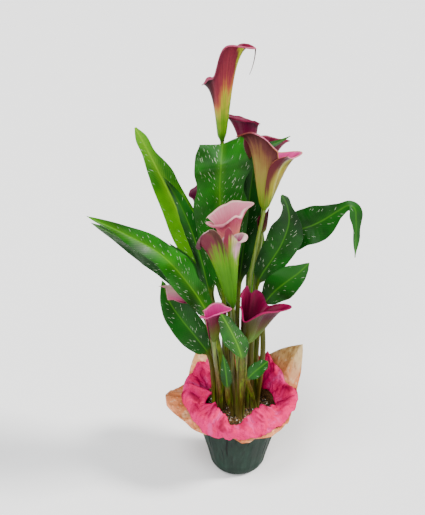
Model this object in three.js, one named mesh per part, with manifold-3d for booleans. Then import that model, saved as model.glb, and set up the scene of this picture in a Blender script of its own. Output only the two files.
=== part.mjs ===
// A potted calla lily: spotted leaves and funnel flowers that rise from three tubers in a pot of soil,
// with a pleated green pot cover and a gift collar of copper paper and pink tissue.
// Millimetres, +Z up. The origin is the centre of the cover's underside, and -Y faces the viewer.
import * as THREE from "three";
import { mergeVertices } from "three/addons/utils/BufferGeometryUtils.js";
import Module from "manifold-3d";

const wasm = await Module();
wasm.setup();

// Driving dimensions of the pot, its cover, the soil and the paper collars.
const GAP = 0.4;
const POT = { floor: 1.5, kneeZ: 25, kneeRadius: 48.3, rimZ: 126, rimRadius: 68, wall: 1.8, sides: 24 };
const POT_LIP = { radius: 70.2, bottom: 121.5 };
const COVER = {
  rimZ: 125.5, rimRadius: 76.2, kneeZ: 25, kneeRadius: 51.2, footRadius: 36, wall: 1.2,
  pleats: 16, pleat: 1.6,
};
const SOIL = { top: 117, edgeDrop: 3 };
const TUBER = { top: 88, height: 15, sides: 14 };
const TISSUE = { tuckRadius: 68.4, rimRadius: 71.15, tuckZ: 108, thickness: 0.9, columns: 45 };
const COPPER = { tuckRadius: 69.75, rimRadius: 72.6, tuckZ: 108, thickness: 0.9, columns: 38 };
const RIM_TOP = 128.5;

// Driving dimensions of the plant. Feet stand on a hexagonal grid over each tuber.
const FOOT_PITCH = 8.8;
const STALK = { foot: 3.3, neck: 2.5, lead: 33, hole: 4.3, sides: 8 };
const BLADE = { thickness: 1.0, rib: 2.2 };
const SCAPE_TOP = 3.1;
const SPATHE = {
  tube: 3.7, thickness: 1.1, lap: 2.7, coreRises: [0.04, 0.09], tipSpread: 15, columns: 11, rows: 5,
};
const SPADIX = { radius: 2.6, sides: 7 };
const CLUMP = {
  left: { middle: [-30, 6], radius: 19 },
  centre: { middle: [3, -14], radius: 18 },
  right: { middle: [30, 10], radius: 18 },
};

const vec = (x, y, z) => new THREE.Vector3(x, y, z);
const mix = (a, b, t) => a + (b - a) * t;
const radians = (degrees) => (degrees * Math.PI) / 180;
const steps = (n) => Array.from({ length: n + 1 }, (_, i) => i / n);
const ease = (t) => {
  const c = Math.min(1, Math.max(0, t));
  return c * c * (3 - 2 * c);
};

const finish = (color, roughness, metalness = 0) =>
  new THREE.MeshStandardMaterial({ color, roughness, metalness });
const FINISH = {
  leaf: finish(0x2c6a1e, 0.35),
  lightLeaf: finish(0x4f8f2c, 0.35),
  stalk: finish(0x6f8a2c, 0.45),
  pink: finish(0xe88aa6, 0.5),
  rose: finish(0x9a3350, 0.5),
  magenta: finish(0x8c1148, 0.5),
  olive: finish(0x9c7a3c, 0.5),
  green: finish(0x8fae3a, 0.5),
  spadix: finish(0xe6b53a, 0.7),
  soil: finish(0x2a211b, 0.95),
  plastic: finish(0x27352f, 0.5),
  cover: finish(0x2f4a40, 0.6),
  copper: finish(0xc98a52, 0.35, 0.6),
  tissue: finish(0xf0408c, 0.8),
  tuber: finish(0x6b4a2c, 0.9),
};

// Leaves. foot is a clump and a place on its grid, stalk is the point where the stalk stands clear of the
// others, rib runs from the blade's base to its tip, and face is where the upper side looks along the way.
// bulges move one margin: a place along the blade, the side (-1 left, 1 right), the distance and the spread.
const LEAVES = {
  tall_centre: {
    foot: ["centre", 9],
    stalk: [-22, 6, 240],
    rib: [
      [-26, 20, 318], [-29, 30, 390], [-31, 32, 462], [-34, 24, 528], [-32, 25, 568], [-30, 38, 589],
      [-29, 46, 595], [-28, 53, 587], [-27, 54, 562], [-24, 53, 520], [-20, 52, 480],
    ],
    face: [
      [0, -1, 0.1], [0, -1, 0.1], [0.05, -1, 0.1], [0, -1, 0.1], [0, -1, 0.1], [0, -1, 0.1], [0, -1, 0.15],
      [-0.3, -0.1, 1], [0, 1, 0.1], [0, 1, 0.1], [0, 1, 0.1],
    ],
    halfWidth: 45, taper: 1, spike: [0.6, 0.74, 0.85], fold: 8,
    wave: 4, waves: 2.6, phase: 0.1, columns: 7, rows: 15,
    bulges: [[0.625, 1, 8, 0.03], [0.52, -1, -8, 0.05], [0.53, 1, -6, 0.05]],
  },
  light_left: {
    foot: ["left", 3],
    stalk: [-37, 32, 235],
    rib: [
      [-45, 52, 308], [-68, 69, 379], [-93, 77, 440], [-121, 78, 506], [-146, 72, 566], [-167, 60, 617],
    ],
    face: [[0.2, -1, 0.3], [0.3, -1, 0.3], [0.2, -1, 0.2]],
    halfWidth: 28, fold: 8,
    wave: 4, waves: 2.6, phase: 0.4, rows: 12, light: true,
    bulges: [[0.94, -1, 4.2, 0.055], [0.94, 1, 4.2, 0.055], [0.84, 1, -1.5, 0.04], [0.72, 1, 3, 0.06]],
  },
  dark_left: {
    foot: ["left", 0],
    stalk: [-38, 20, 250],
    rib: [[-49, 32, 322], [-66, 42, 398], [-84, 43, 456], [-103, 38, 506], [-123, 28, 546]],
    face: [[0.6, -0.8, 0.2], [0.7, -0.7, 0.2], [0.5, -0.8, 0.3]],
    halfWidth: 20, fold: 20,
    wave: 3,
  },
  far_left: {
    foot: ["left", 6],
    stalk: [-32, -16, 240],
    rib: [[-47, -30, 315], [-81, -46, 390], [-126, -56, 452], [-178, -64, 490], [-232, -72, 523]],
    face: [[0.3, -0.9, 0.5], [0.4, -0.8, 0.6], [0.3, -0.8, 0.5]],
    halfWidth: 24, fold: 12,
    wave: 4, waves: 2.2, phase: 0.6, rows: 12,
    bulges: [[0.84, -1, -4, 0.1], [0.3, 1, -5, 0.05], [0.42, 1, 3, 0.06]],
  },
  mid_left: {
    foot: ["left", 9],
    stalk: [-47, 27, 240],
    rib: [[-54, 34, 300], [-70, 42, 347], [-93, 48, 390], [-117, 48, 420]],
    face: [[-0.3, 0.7, 0.6], [-0.3, 0.7, 0.7]],
    halfWidth: 15, fold: 14,
    wave: 2, rows: 9,
  },
  under_left: {
    foot: ["left", 4],
    stalk: [-42, 8, 235],
    rib: [[-59, 14, 300], [-96, 21, 358], [-140, 22, 399], [-187, 20, 437], [-240, 16, 472]],
    face: [[0.2, -0.6, 0.8], [0.3, -0.6, 0.8], [0.2, -0.6, 0.7]],
    halfWidth: 23, fold: 12,
    wave: 4, waves: 1.8, phase: 0.1,
  },
  low_left: {
    foot: ["left", 10],
    stalk: [-44, -6, 185],
    rib: [[-51, -13, 237], [-72, -20, 277], [-96, -21, 313], [-117, -15, 346], [-128, -4, 378]],
    face: [[0.3, -0.9, 0.4], [0.3, -0.9, 0.3], [0.4, -0.9, 0.2]],
    halfWidth: 27, taper: 0.85, fold: 10,
    wave: 3, waves: 1.5,
  },
  low_centre: {
    foot: ["centre", 11],
    stalk: [3, -40, 190],
    rib: [[3, -60, 260], [-3, -68, 289], [-11, -75, 314], [-21, -82, 340], [-32, -86, 364]],
    face: [[-0.3, -0.9, 0.4], [-0.3, -0.9, 0.3]],
    halfWidth: 20, taper: 0.95, fold: 8,
    wave: 2, waves: 1.5, rows: 9,
    bulges: [[0.9, -1, 3, 0.07], [0.9, 1, 3, 0.07]],
  },
  small_centre: {
    foot: ["centre", 10],
    stalk: [-18, -33, 160],
    rib: [[-20, -41, 190], [-23, -46, 225], [-28, -46, 262]],
    face: [[0, -1, 0.2], [0.1, -1, 0.2]],
    halfWidth: 9.5, fold: 14,
    wave: 1, rows: 7,
  },
  small_right: {
    foot: ["right", 11],
    stalk: [20, -32, 178],
    rib: [[14, -54, 218], [23, -58, 234], [33, -62, 247], [45, -64, 260]],
    face: [[-0.3, -0.8, 0.6], [-0.2, -0.8, 0.6]],
    halfWidth: 12.5, taper: 0.95, fold: 8,
    wave: 1, rows: 7,
    bulges: [[0.88, -1, 3.5, 0.1], [0.88, 1, 3.5, 0.1]],
  },
  big_right: {
    foot: ["right", 5],
    stalk: [20, 2, 240],
    rib: [
      [27, 5, 361], [36, 0, 388], [50, -7, 417], [64, -16, 450], [73, -29, 494], [68, -41, 526],
      [58, -52, 549],
    ],
    face: [[-0.3, -0.9, 0.3], [-0.3, -0.9, 0.4], [-0.2, -0.8, 0.6]],
    halfWidth: 27, taper: 0.95, spike: [0.45, 0.6, 0.95], fold: 12,
    wave: 4, waves: 1.8, phase: 0.7, columns: 7, rows: 12,
    bulges: [[0.95, -1, 4, 0.05], [0.95, 1, 4, 0.05], [0.62, 1, 4, 0.12]],
  },
  drooping_right: {
    foot: ["right", 2],
    stalk: [34, 24, 270],
    rib: [
      [69, 26, 408], [81, 25, 438], [97, 22, 457], [116, 20, 466], [135, 16, 479], [154, 10, 496],
      [170, 4, 508], [178, 0, 504], [181, -2, 488], [183, -5, 456], [184, -6, 421],
    ],
    face: [[0, -0.8, 0.6], [0, -0.8, 0.6], [0.1, -0.8, 0.5], [0.5, -0.85, 0.2]],
    halfWidth: 30, taper: 0.62, spike: [0.66, 0.36, 0.6], fold: 10,
    wave: 3.5, phase: 0.3, columns: 7, rows: 15,
    bulges: [[0.7, -1, 4.2, 0.06], [0.7, 1, 4.2, 0.06], [0.88, -1, 3, 0.07], [0.88, 1, 3, 0.07]],
  },
  low_right: {
    foot: ["right", 6],
    stalk: [41, 1, 235],
    rib: [[40, -8, 332], [54, -19, 364], [74, -34, 393], [90, -44, 413], [105, -52, 435]],
    face: [[-0.1, -1, 0.4], [-0.1, -1, 0.5], [0, -0.9, 0.6]],
    halfWidth: 25, taper: 0.95, fold: 12,
    wave: 4, waves: 1.6,
  },
  strip_right: {
    foot: ["right", 3],
    stalk: [21, 32, 255],
    rib: [[22, 36, 325], [29, 34, 385], [34, 33, 422], [37, 32, 458]],
    face: [[-0.3, -0.9, 0.2], [-0.3, -0.9, 0.3]],
    halfWidth: 12, fold: 10,
    wave: 2, rows: 8, light: true,
  },
  tall_back: {
    foot: ["centre", 8],
    stalk: [-2, 46, 245],
    rib: [
      [0, 56, 330], [7, 62, 402], [13, 65, 460], [18, 66, 520], [25, 65, 560], [40, 62, 583],
      [59, 64, 591], [79, 72, 599],
    ],
    face: [[-0.2, -0.95, 0.2], [-0.2, -0.95, 0.2], [-0.1, -0.9, 0.4], [0, -0.7, 0.7]],
    halfWidth: 23, taper: 0.8, spike: [0.3, 0.6, 0.8], fold: 12,
    wave: 3,
  },
  mid_back: {
    foot: ["centre", 3],
    stalk: [-13, 30, 230],
    rib: [[-16, 56, 290], [-21, 68, 335], [-20, 76, 380], [-12, 80, 424]],
    face: [[0.2, -1, 0.2], [0.1, -1, 0.3]],
    halfWidth: 19, fold: 10,
    wave: 3, rows: 8,
  },
};

// Flowers. radius, height and lean of the rim are given at 0, 60, 120, 180, 240 and 300 degrees from back,
// the way that the tip lies. accents refine them: degrees, spread, and what each of the three gains there.
// wrap is how far the sheet reaches round from its middle, at the base and at the rim.
const FLOWERS = {
  top: {
    foot: ["left", 2],
    stem: [[-26, 38, 250], [-27, 58, 390], [-28, 68, 516], [-30, 69, 592]],
    axis: [0, 0, 1], back: [0.9, -0.45, 0],
    wrap: [215, 168], lap: -1, belly: 0.22, finish: "rose",
    radius: [42, 26, 22, 31, 21, 31],
    height: [154, 146, 104, 88, 105, 156],
    lean: [100, 60, 40, 80, 45, 70],
    accents: [[266, 22, -4, -14, 10], [225, 18, 0, 6, 20], [12, 14, -4, 0, 30]],
    tip: [15, -2], spadix: 50, columns: 13, rows: 5,
  },
  back_left: {
    foot: ["right", 9],
    stem: [[14, 46, 265], [17, 78, 434], [18, 88, 546]],
    axis: [-0.1, -0.05, 1], back: [-1, 0.1, 0],
    wrap: [205, 168], lap: 1, belly: 0.4, finish: "rose",
    radius: [26, 18, 16, 16, 18, 20],
    height: [84, 82, 76, 66, 66, 74],
    lean: [70, 50, 30, 40, 50, 60],
    tip: [18, 6], spadix: 30,
  },
  right_centre: {
    foot: ["right", 10],
    stem: [[9, -16, 235], [10, -20, 330], [17, -23, 405], [26, -24, 463], [34, -24, 512]],
    axis: [0, 0, 1], back: [0.86, 0.5, 0],
    wrap: [235, 168], middle: 105, lap: -1, belly: 0.35, finish: "olive",
    radius: [38, 25, 33, 27, 20, 34],
    height: [80, 92, 114, 129, 117, 92],
    lean: [80, 50, 70, 60, 35, 55],
    accents: [[150, 20, 12, -5, 25]],
    tip: [28, 2], spadix: 40, columns: 13, rows: 5,
  },
  back_right: {
    foot: ["right", 8],
    stem: [[25, 46, 270], [33, 74, 430], [37, 86, 526]],
    axis: [0.05, 0.05, 1], back: [1, 0, 0],
    wrap: [205, 168], lap: 1, belly: 0.4, finish: "rose",
    radius: [20, 16, 14, 12, 14, 16],
    height: [60, 62, 62, 56, 58, 58],
    lean: [70, 40, 30, 20, 30, 50],
    tip: [20, 0], spadix: 24,
  },
  upper_front: {
    foot: ["centre", 4],
    stem: [[-12, -8, 240], [-13, -6, 340], [-16, -6, 408]],
    axis: [-0.05, -0.1, 1], back: [1, -0.1, 0],
    wrap: [205, 172], lap: -1, belly: 0.3, finish: "pink",
    radius: [26, 18, 18, 33, 22, 22],
    height: [110, 107, 99, 83, 85, 101],
    lean: [60, 30, 30, 80, 95, 75],
    accents: [[322, 12, 2, -6, 20]],
    tip: [14, 2], spadix: 44, columns: 13, rows: 5,
  },
  centre_front: {
    foot: ["centre", 5],
    stem: [[-2, -36, 215], [-8, -51, 290], [-13, -56, 358]],
    axis: [-0.1, 0, 1], back: [0, 1, 0],
    wrap: [215, 150], middle: -12, lap: 1, belly: 0.3, bend: 0.45, finish: "green",
    radius: [18, 36, 35, 21, 21, 29],
    height: [110, 106, 142, 156, 118, 120],
    lean: [40, 90, 65, 20, 35, 65],
    accents: [[92, 16, 7, -10, 30], [272, 18, 2, 4, 15]],
    tip: [4, 6], spadix: 50, columns: 13, rows: 5,
  },
  small_left: {
    foot: ["left", 11],
    stem: [[-33, -34, 195], [-40, -56, 250], [-43, -62, 298]],
    axis: [0, 0, 1], back: [1, -0.35, 0],
    wrap: [205, 165], lap: 1, belly: 0.35, finish: "pink",
    radius: [17, 14, 13, 19, 14, 13],
    height: [61, 64, 60, 47, 48, 57],
    lean: [60, 30, 30, 70, 50, 40],
    tip: [12, 3], spadix: 22, columns: 10,
  },
  low_right: {
    foot: ["centre", 6],
    stem: [[8, -33, 200], [9, -48, 250], [7, -56, 286]],
    axis: [0.1, 0.05, 1], back: [1, 0.1, 0],
    wrap: [215, 165], lap: 1, belly: 0.5, finish: "magenta",
    radius: [42, 30, 18, 13, 16, 33],
    height: [70, 86, 90, 78, 52, 75],
    lean: [80, 50, 20, 15, 45, 70],
    accents: [[30, 13, 0, -14, 0], [80, 9, 0, -9, 0], [100, 10, 0, 4, -10]],
    tip: [26, 4], spadix: 32, columns: 14,
  },
  bud_left: {
    foot: ["left", 5],
    stem: [[-41, -20, 240], [-54, -20, 304], [-64, -22, 338], [-77, -24, 353]],
    axis: [-0.92, -0.09, 0.38], back: [-0.4, 0, 0.9],
    wrap: [215, 150], lap: 1, belly: 0.8, finish: "pink",
    radius: [8, 10, 11, 11, 11, 10],
    height: [50, 48, 42, 36, 42, 48],
    lean: [-20, 0, 10, 20, 10, 0],
    tip: [-4, 10], columns: 10,
  },
  hidden_left: {
    foot: ["left", 8],
    stem: [[-42, 58, 250], [-50, 84, 332], [-56, 99, 405]],
    axis: [-0.1, 0, 1], back: [0, 1, 0],
    wrap: [205, 165], lap: 1, belly: 0.4, finish: "magenta",
    radius: [22, 20, 18, 14, 18, 20],
    height: [88, 86, 82, 72, 80, 86],
    lean: [70, 60, 50, 30, 50, 60],
    tip: [12, 6], spadix: 34, columns: 10,
  },
  bud_right: {
    foot: ["right", 4],
    stem: [[23, 14, 300], [28, 17, 400], [35, 18, 455]],
    axis: [0.03, 0, 1], back: [1, 0, 0],
    wrap: [215, 150], lap: 1, belly: 0.8, finish: "magenta",
    radius: [5, 6, 6, 6, 6, 6],
    height: [34, 31, 27, 24, 27, 31],
    lean: [20, 10, 0, 0, 0, 10],
    tip: [4, 8], columns: 10,
  },
};

// The free edges of the two sheets: the angle round the pot from +X, the radius and the height.
const COPPER_EDGE = [
  [0, 101, 134], [8, 104, 136], [16, 112, 140], [21, 122, 166], [27, 129, 215], [33, 121, 207],
  [42, 108, 196], [50, 104, 184], [61, 97, 172], [78, 97, 166], [96, 98, 166], [108, 103, 174],
  [118, 104, 178], [133, 110, 187], [139, 108, 172], [147, 105, 152], [154, 106, 136], [163, 112, 138],
  [172, 121, 144], [181, 129, 146], [187, 127, 136], [196, 112, 124], [206, 104, 122], [213, 97, 114],
  [221, 95, 116], [229, 90, 112], [240, 84, 117], [252, 83, 119], [264, 84, 117], [273, 90, 112],
  [281, 91, 114], [288, 86, 116], [298, 88, 112], [306, 95, 117], [315, 96, 119], [324, 99, 126],
  [332, 98, 122], [341, 97, 130], [350, 99, 132],
];
const TISSUE_EDGE = [
  [0, 99, 150], [9, 92, 148], [19, 91, 150], [28, 88, 170], [40, 87, 178], [49, 84, 196], [58, 83, 179],
  [70, 85, 186], [82, 84, 176], [96, 85, 188], [110, 84, 176], [122, 87, 182], [134, 86, 172],
  [146, 90, 181], [156, 91, 166], [165, 96, 166], [178, 97, 160], [187, 98, 150], [195, 93, 137],
  [204, 92, 138], [213, 91, 124], [221, 89, 126], [229, 89, 117], [240, 88, 114], [249, 87, 117],
  [257, 86, 115], [266, 87, 120], [277, 88, 119], [288, 88, 122], [297, 88, 120], [307, 91, 124],
  [316, 92, 129], [324, 92, 126], [333, 97, 138], [341, 99, 136], [351, 104, 147],
];
// The tissue's crest, where it turns in over the pot's rim before it goes out.
const TISSUE_CREST = [
  [0, 66, 131], [18, 66, 133], [32, 64, 137], [45, 63, 131], [60, 63, 136], [80, 64, 143], [100, 65, 146],
  [120, 64, 142], [140, 64, 131], [152, 60, 135], [168, 53, 143], [179, 48, 149], [187, 58, 140],
  [194, 65, 134], [204, 59, 141], [216, 50, 151], [225, 54, 147], [240, 58, 150], [250, 61, 140],
  [257, 69, 131], [265, 66, 131], [273, 61, 132], [283, 60, 144], [298, 58, 150], [312, 58, 154],
  [328, 61, 146], [342, 64, 135], [352, 67, 130],
];

// A place on a clump: 0 is its middle, 1 to 6 the ring round it, 7 to 12 the outer ring.
function footOn(clump, place) {
  const [x, y] = CLUMP[clump].middle;
  const z = TUBER.top + GAP;
  if (place === 0) return vec(x, y, z);
  const outer = place > 6;
  const turn = radians(60 * ((place - 1) % 6) + (outer ? 30 : 0));
  const reach = FOOT_PITCH * (outer ? Math.sqrt(3) : 1);
  return vec(x + reach * Math.cos(turn), y + reach * Math.sin(turn), z);
}

// A smooth route through points, measured along its length. It starts with a straight upright lead.
class Route {
  constructor(foot, points, perSpan = 24) {
    const all = [foot, foot.clone().setZ(foot.z + STALK.lead), ...points.map((p) => vec(...p))];
    const curve = new THREE.CatmullRomCurve3(all, false, "centripetal");
    this.spots = curve.getPoints((all.length - 1) * perSpan);
    this.run = [0];
    this.spots.slice(1).forEach((p, i) => this.run.push(this.run[i] + p.distanceTo(this.spots[i])));
    this.length = this.run.at(-1);
    this.marks = all.map((_, i) => this.run[i * perSpan]);
  }

  at(distance) {
    const d = Math.min(this.length - 1e-6, Math.max(0, distance));
    const i = Math.max(0, this.run.findIndex((r) => r > d) - 1);
    const share = (d - this.run[i]) / (this.run[i + 1] - this.run[i]);
    return this.spots[i].clone().lerp(this.spots[i + 1], share);
  }

  heading(distance) {
    const h = 1.5;
    return this.at(distance + h).sub(this.at(distance - h)).normalize();
  }

  // Distances from the foot to the end: the lead's two ends, then equal steps.
  stations(end, count) {
    const lead = this.marks[1];
    return [0, ...steps(count).map((t) => mix(lead, end, t))];
  }
}

function toSolid(geometry) {
  const bare = geometry.clone();
  bare.deleteAttribute("normal");
  bare.deleteAttribute("uv");
  const merged = mergeVertices(bare, 1e-3);
  const build = (order) => {
    const triVerts = new Uint32Array(merged.index.array);
    for (let i = 0; i < triVerts.length; i += 3) {
      triVerts.set(order.map((k) => merged.index.array[i + k]), i);
    }
    const vertProperties = new Float32Array(merged.attributes.position.array);
    return new wasm.Manifold(new wasm.Mesh({ numProp: 3, vertProperties, triVerts }));
  };
  const solid = build([0, 1, 2]);
  return solid.volume() > 0 ? solid : build([0, 2, 1]);
}

function solidFrom(points, faces) {
  const geometry = new THREE.BufferGeometry();
  const numbers = points.flatMap((p) => [p.x, p.y, p.z]);
  geometry.setAttribute("position", new THREE.Float32BufferAttribute(numbers, 3));
  geometry.setIndex(faces);
  return toSolid(geometry);
}

// One closed solid from two grids of points that face each other. Both faces are split along the same
// diagonals. With wrap the columns join into a ring.
function sheetSolid(upper, lower, wrap = false) {
  const rows = upper.length;
  const cols = upper[0].length;
  const spans = wrap ? cols : cols - 1;
  const u = (i, j) => i * cols + (j % cols);
  const l = (i, j) => rows * cols + u(i, j);
  const faces = [];
  const quad = (a, b, c, d) => faces.push(a, b, c, a, c, d);
  for (let i = 0; i < rows - 1; i++) {
    for (let j = 0; j < spans; j++) {
      quad(u(i, j), u(i, j + 1), u(i + 1, j + 1), u(i + 1, j));
      faces.push(l(i, j), l(i + 1, j + 1), l(i, j + 1), l(i, j), l(i + 1, j), l(i + 1, j + 1));
    }
    if (!wrap) {
      quad(u(i, 0), u(i + 1, 0), l(i + 1, 0), l(i, 0));
      quad(u(i + 1, cols - 1), u(i, cols - 1), l(i, cols - 1), l(i + 1, cols - 1));
    }
  }
  for (let j = 0; j < spans; j++) {
    quad(u(0, j + 1), u(0, j), l(0, j), l(0, j + 1));
    quad(u(rows - 1, j), u(rows - 1, j + 1), l(rows - 1, j + 1), l(rows - 1, j));
  }
  return solidFrom([...upper.flat(), ...lower.flat()], faces);
}

// A round rod along a line, with a ring of the given radius at each distance and flat ends.
function rodSolid(line, distances, radii, sides = STALK.sides) {
  const points = distances.flatMap((d, i) => {
    const heading = line.heading(d);
    const side = vec(1, 0, 0).addScaledVector(heading, -heading.x).normalize();
    const front = heading.clone().cross(side);
    return steps(sides).slice(0, sides).map((k) => {
      const a = 2 * Math.PI * k;
      const spot = line.at(d).addScaledVector(side, radii[i] * Math.cos(a));
      return spot.addScaledVector(front, radii[i] * Math.sin(a));
    });
  });
  const faces = [];
  const last = distances.length - 1;
  const at = (i, k) => i * sides + (k % sides);
  for (let i = 0; i < last; i++) {
    for (let k = 0; k < sides; k++) {
      faces.push(at(i, k), at(i, k + 1), at(i + 1, k + 1), at(i, k), at(i + 1, k + 1), at(i + 1, k));
    }
  }
  for (let k = 1; k < sides - 1; k++) {
    faces.push(at(0, 0), at(0, k + 1), at(0, k), at(last, 0), at(last, k), at(last, k + 1));
  }
  return solidFrom(points, faces);
}

const plant = new THREE.Group();

function place(name, solid, material) {
  const made = solid.getMesh();
  const n = made.numProp;
  const spots = new Float32Array(made.numVert * 3);
  for (let i = 0; i < made.numVert; i++) spots.set(made.vertProperties.subarray(i * n, i * n + 3), i * 3);
  const geometry = new THREE.BufferGeometry();
  geometry.setAttribute("position", new THREE.BufferAttribute(spots, 3));
  geometry.setIndex(new THREE.BufferAttribute(new Uint32Array(made.triVerts), 1));
  geometry.computeVertexNormals();
  const mesh = new THREE.Mesh(geometry, material);
  mesh.name = name;
  plant.add(mesh);
}

// The direction that a leaf's upper face looks in, from the blade's base (0) to its tip (1).
function facing(faces, u) {
  const span = u * (faces.length - 1);
  const i = Math.min(faces.length - 2, Math.floor(span));
  return vec(...faces[i]).lerp(vec(...faces[i + 1]), ease(span - i));
}

// Half the width of a blade at u: round at the base, widest near the middle and pointed at the tip, with a
// longer thin point where the leaf has a spike.
function bladeHalfWidth(leaf, u) {
  const oval = Math.sin(Math.PI * Math.min(1, u) ** (leaf.taper ?? 0.72)) ** 0.85;
  const [share, from, to] = leaf.spike ?? [0, 0, 1];
  return leaf.halfWidth * oval * (1 - share * ease((u - from) / (to - from)));
}

// What bulges add to half the width at u, on their own side of the rib.
function marginShift(leaf, u, v) {
  const shifts = (leaf.bulges ?? []).map(([at, hand, reach, spread]) => {
    return reach * bell(u, at, spread) * ease(v * hand * 3);
  });
  return shifts.reduce((sum, shift) => sum + shift, 0);
}

// One leaf: a round stalk whose section opens into the blade. The blade is folded up along its rib by fold
// degrees, and its margins rise and fall in waves.
function leafSolid(leaf, route) {
  const bladeStart = route.marks[3];
  const bladeLength = route.length - bladeStart;
  const across = leaf.columns === 7 ? [-1, -0.66, -0.3, 0, 0.3, 0.66, 1] : [-1, -0.5, 0, 0.5, 1];
  const stations = [
    ...route.stations(bladeStart, 3).slice(0, -1).map((d) => ({ d, u: 0 })),
    ...steps(leaf.rows ?? 10).map((u) => ({ d: bladeStart + bladeLength * u, u })),
  ];
  const fold = radians(leaf.fold);
  const upper = [];
  const lower = [];
  for (const { d, u } of stations) {
    const heading = route.heading(d);
    const face = facing(leaf.face, u);
    face.addScaledVector(heading, -face.dot(heading)).normalize();
    const side = heading.clone().cross(face);
    const middle = route.at(d);
    const climbed = Math.max(0, d - route.marks[1]) / bladeStart;
    const round = mix(STALK.foot, STALK.neck, climbed) * (1 - 0.75 * u);
    const open = ease(u / 0.12);
    const plain = Math.max(round, bladeHalfWidth(leaf, u), 0.6);
    const put = (x, z) => middle.clone().addScaledVector(side, x).addScaledVector(face, z);
    const [top, under] = [[], []];
    for (const v of across) {
      const half = plain + marginShift(leaf, u, v);
      const turn = Math.PI * (0.5 - 0.47 * v);
      const cycle = (leaf.waves ?? 2) * u + (leaf.phase ?? 0.2) + (v > 0 ? 0 : 0.37);
      const swell = v * v * Math.sin(Math.PI * Math.min(1, 1.05 * u));
      const wave = leaf.wave * Math.sin(2 * Math.PI * cycle) * swell;
      const lift = half * Math.abs(v) * Math.sin(fold) + wave;
      const flat = half * v * Math.cos(fold);
      const rib = v === 0 ? BLADE.rib * (1 - u) : 0;
      const x = mix(round * Math.cos(turn), flat, open);
      top.push(put(x, mix(round * Math.sin(turn), lift + BLADE.thickness / 2, open)));
      under.push(put(x, mix(-round * Math.sin(turn), lift - BLADE.thickness / 2 - rib, open)));
    }
    upper.push(top);
    lower.push(under);
  }
  return sheetSolid(upper, lower);
}

// A bell of height 1 about a middle.
const bell = (x, middle, spread) => Math.exp(-(((x - middle) / spread) ** 2));

// Degrees from a middle, between -180 and 180.
const turnFrom = (degrees, middle) => ((((degrees - middle + 540) % 360) + 360) % 360) - 180;

// A value round the flower from values given at equal angles, joined smoothly.
function roundValue(values, degrees) {
  const n = values.length;
  const span = (((degrees % 360) + 360) % 360) / (360 / n);
  const i = Math.floor(span);
  const t = span - i;
  const [a, b, c, d] = [-1, 0, 1, 2].map((k) => values[(i + k + n) % n]);
  return b + 0.5 * t * (c - a + t * (2 * a - 5 * b + 4 * c - d + t * (3 * b - a - 3 * c + d)));
}

// The radius and height of the spathe at an angle, from its base (rise 0) to its rim (1). Each such line is a
// cubic that leaves the tube upright and reaches the rim leaning out by lean degrees.
function spatheProfile(flower, degrees, rise) {
  const peak = bell(turnFrom(degrees, 0), 0, SPATHE.tipSpread);
  const rim = [flower.radius, flower.height, flower.lean].map((values) => roundValue(values, degrees));
  for (const [middle, spread, ...added] of flower.accents ?? []) {
    const here = bell(turnFrom(degrees, middle), 0, spread);
    added.forEach((value, k) => (rim[k] += value * here));
  }
  const rimRadius = rim[0] + flower.tip[0] * peak;
  const rimHeight = rim[1] + flower.tip[1] * peak;
  const lean = radians(rim[2]);
  const reach = rimRadius - SPATHE.tube;
  const bend = flower.bend ?? 0.75;
  const pull = Math.min(0.4 * rimHeight, (bend * reach) / Math.max(0.3, Math.sin(lean)));
  const waist = SPATHE.tube + flower.belly * reach;
  const radii = [SPATHE.tube, waist, rimRadius - pull * Math.sin(lean), rimRadius];
  const heights = [0, 0.42 * rimHeight, rimHeight - pull * Math.cos(lean), rimHeight];
  const weights = [(1 - rise) ** 3, 3 * rise * (1 - rise) ** 2, 3 * rise ** 2 * (1 - rise), rise ** 3];
  const sum = (list) => list.reduce((total, value, k) => total + value * weights[k], 0);
  return [sum(radii), sum(heights)];
}

// A point of the spathe. turn is -1 to 1 from one margin round the back to the other. One margin laps over.
function spathePoint(flower, frame, turn, rise) {
  const degrees = (flower.middle ?? 0) + turn * mix(flower.wrap[0], flower.wrap[1], rise ** 1.5);
  const lap = (SPATHE.lap / 2) * (1 + turn * flower.lap) * (1 - rise ** 6);
  const [radius, height] = spatheProfile(flower, degrees, rise);
  const a = radians(degrees);
  return frame.base
    .clone()
    .addScaledVector(frame.axis, height)
    .addScaledVector(frame.back, (radius + lap) * Math.cos(a))
    .addScaledVector(frame.across, (radius + lap) * Math.sin(a));
}

// The solid core that clasps the stem, as heights and radii: it fills the tube's foot.
function coreRings(flower) {
  const round = [0, 60, 120, 180, 240, 300];
  const fill = SPATHE.coreRises.map((rise) => {
    const rings = round.map((degrees) => spatheProfile(flower, degrees, rise));
    return [0, 1].map((k) => rings.reduce((sum, ring) => sum + ring[k], 0) / round.length);
  });
  return [[SCAPE_TOP, 0], ...fill.map(([radius, height]) => [radius + SPATHE.lap / 4, height])];
}

// The spathe: one rolled sheet, fused at its base to its core.
function spatheSolid(flower, frame, line) {
  const outer = [];
  const inner = [];
  const h = 0.01;
  for (const s of steps(flower.rows ?? SPATHE.rows)) {
    const rise = mix(0.04, 1, s);
    const [out, inn] = [[], []];
    for (const c of steps(flower.columns ?? SPATHE.columns)) {
      const turn = 2 * c - 1;
      const spot = (dt, dr) => spathePoint(flower, frame, turn + dt, rise + dr);
      const along = spot(0, h).sub(spot(0, -h));
      const normal = spot(h, 0).sub(spot(-h, 0)).cross(along).normalize();
      out.push(spot(0, 0).addScaledVector(normal, SPATHE.thickness / 2));
      inn.push(spot(0, 0).addScaledVector(normal, -SPATHE.thickness / 2));
    }
    outer.push(out);
    inner.push(inn);
  }
  const rings = coreRings(flower);
  const core = rodSolid(line, rings.map((ring) => ring[1]), rings.map((ring) => ring[0]));
  return sheetSolid(outer, inner).add(core);
}

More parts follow.
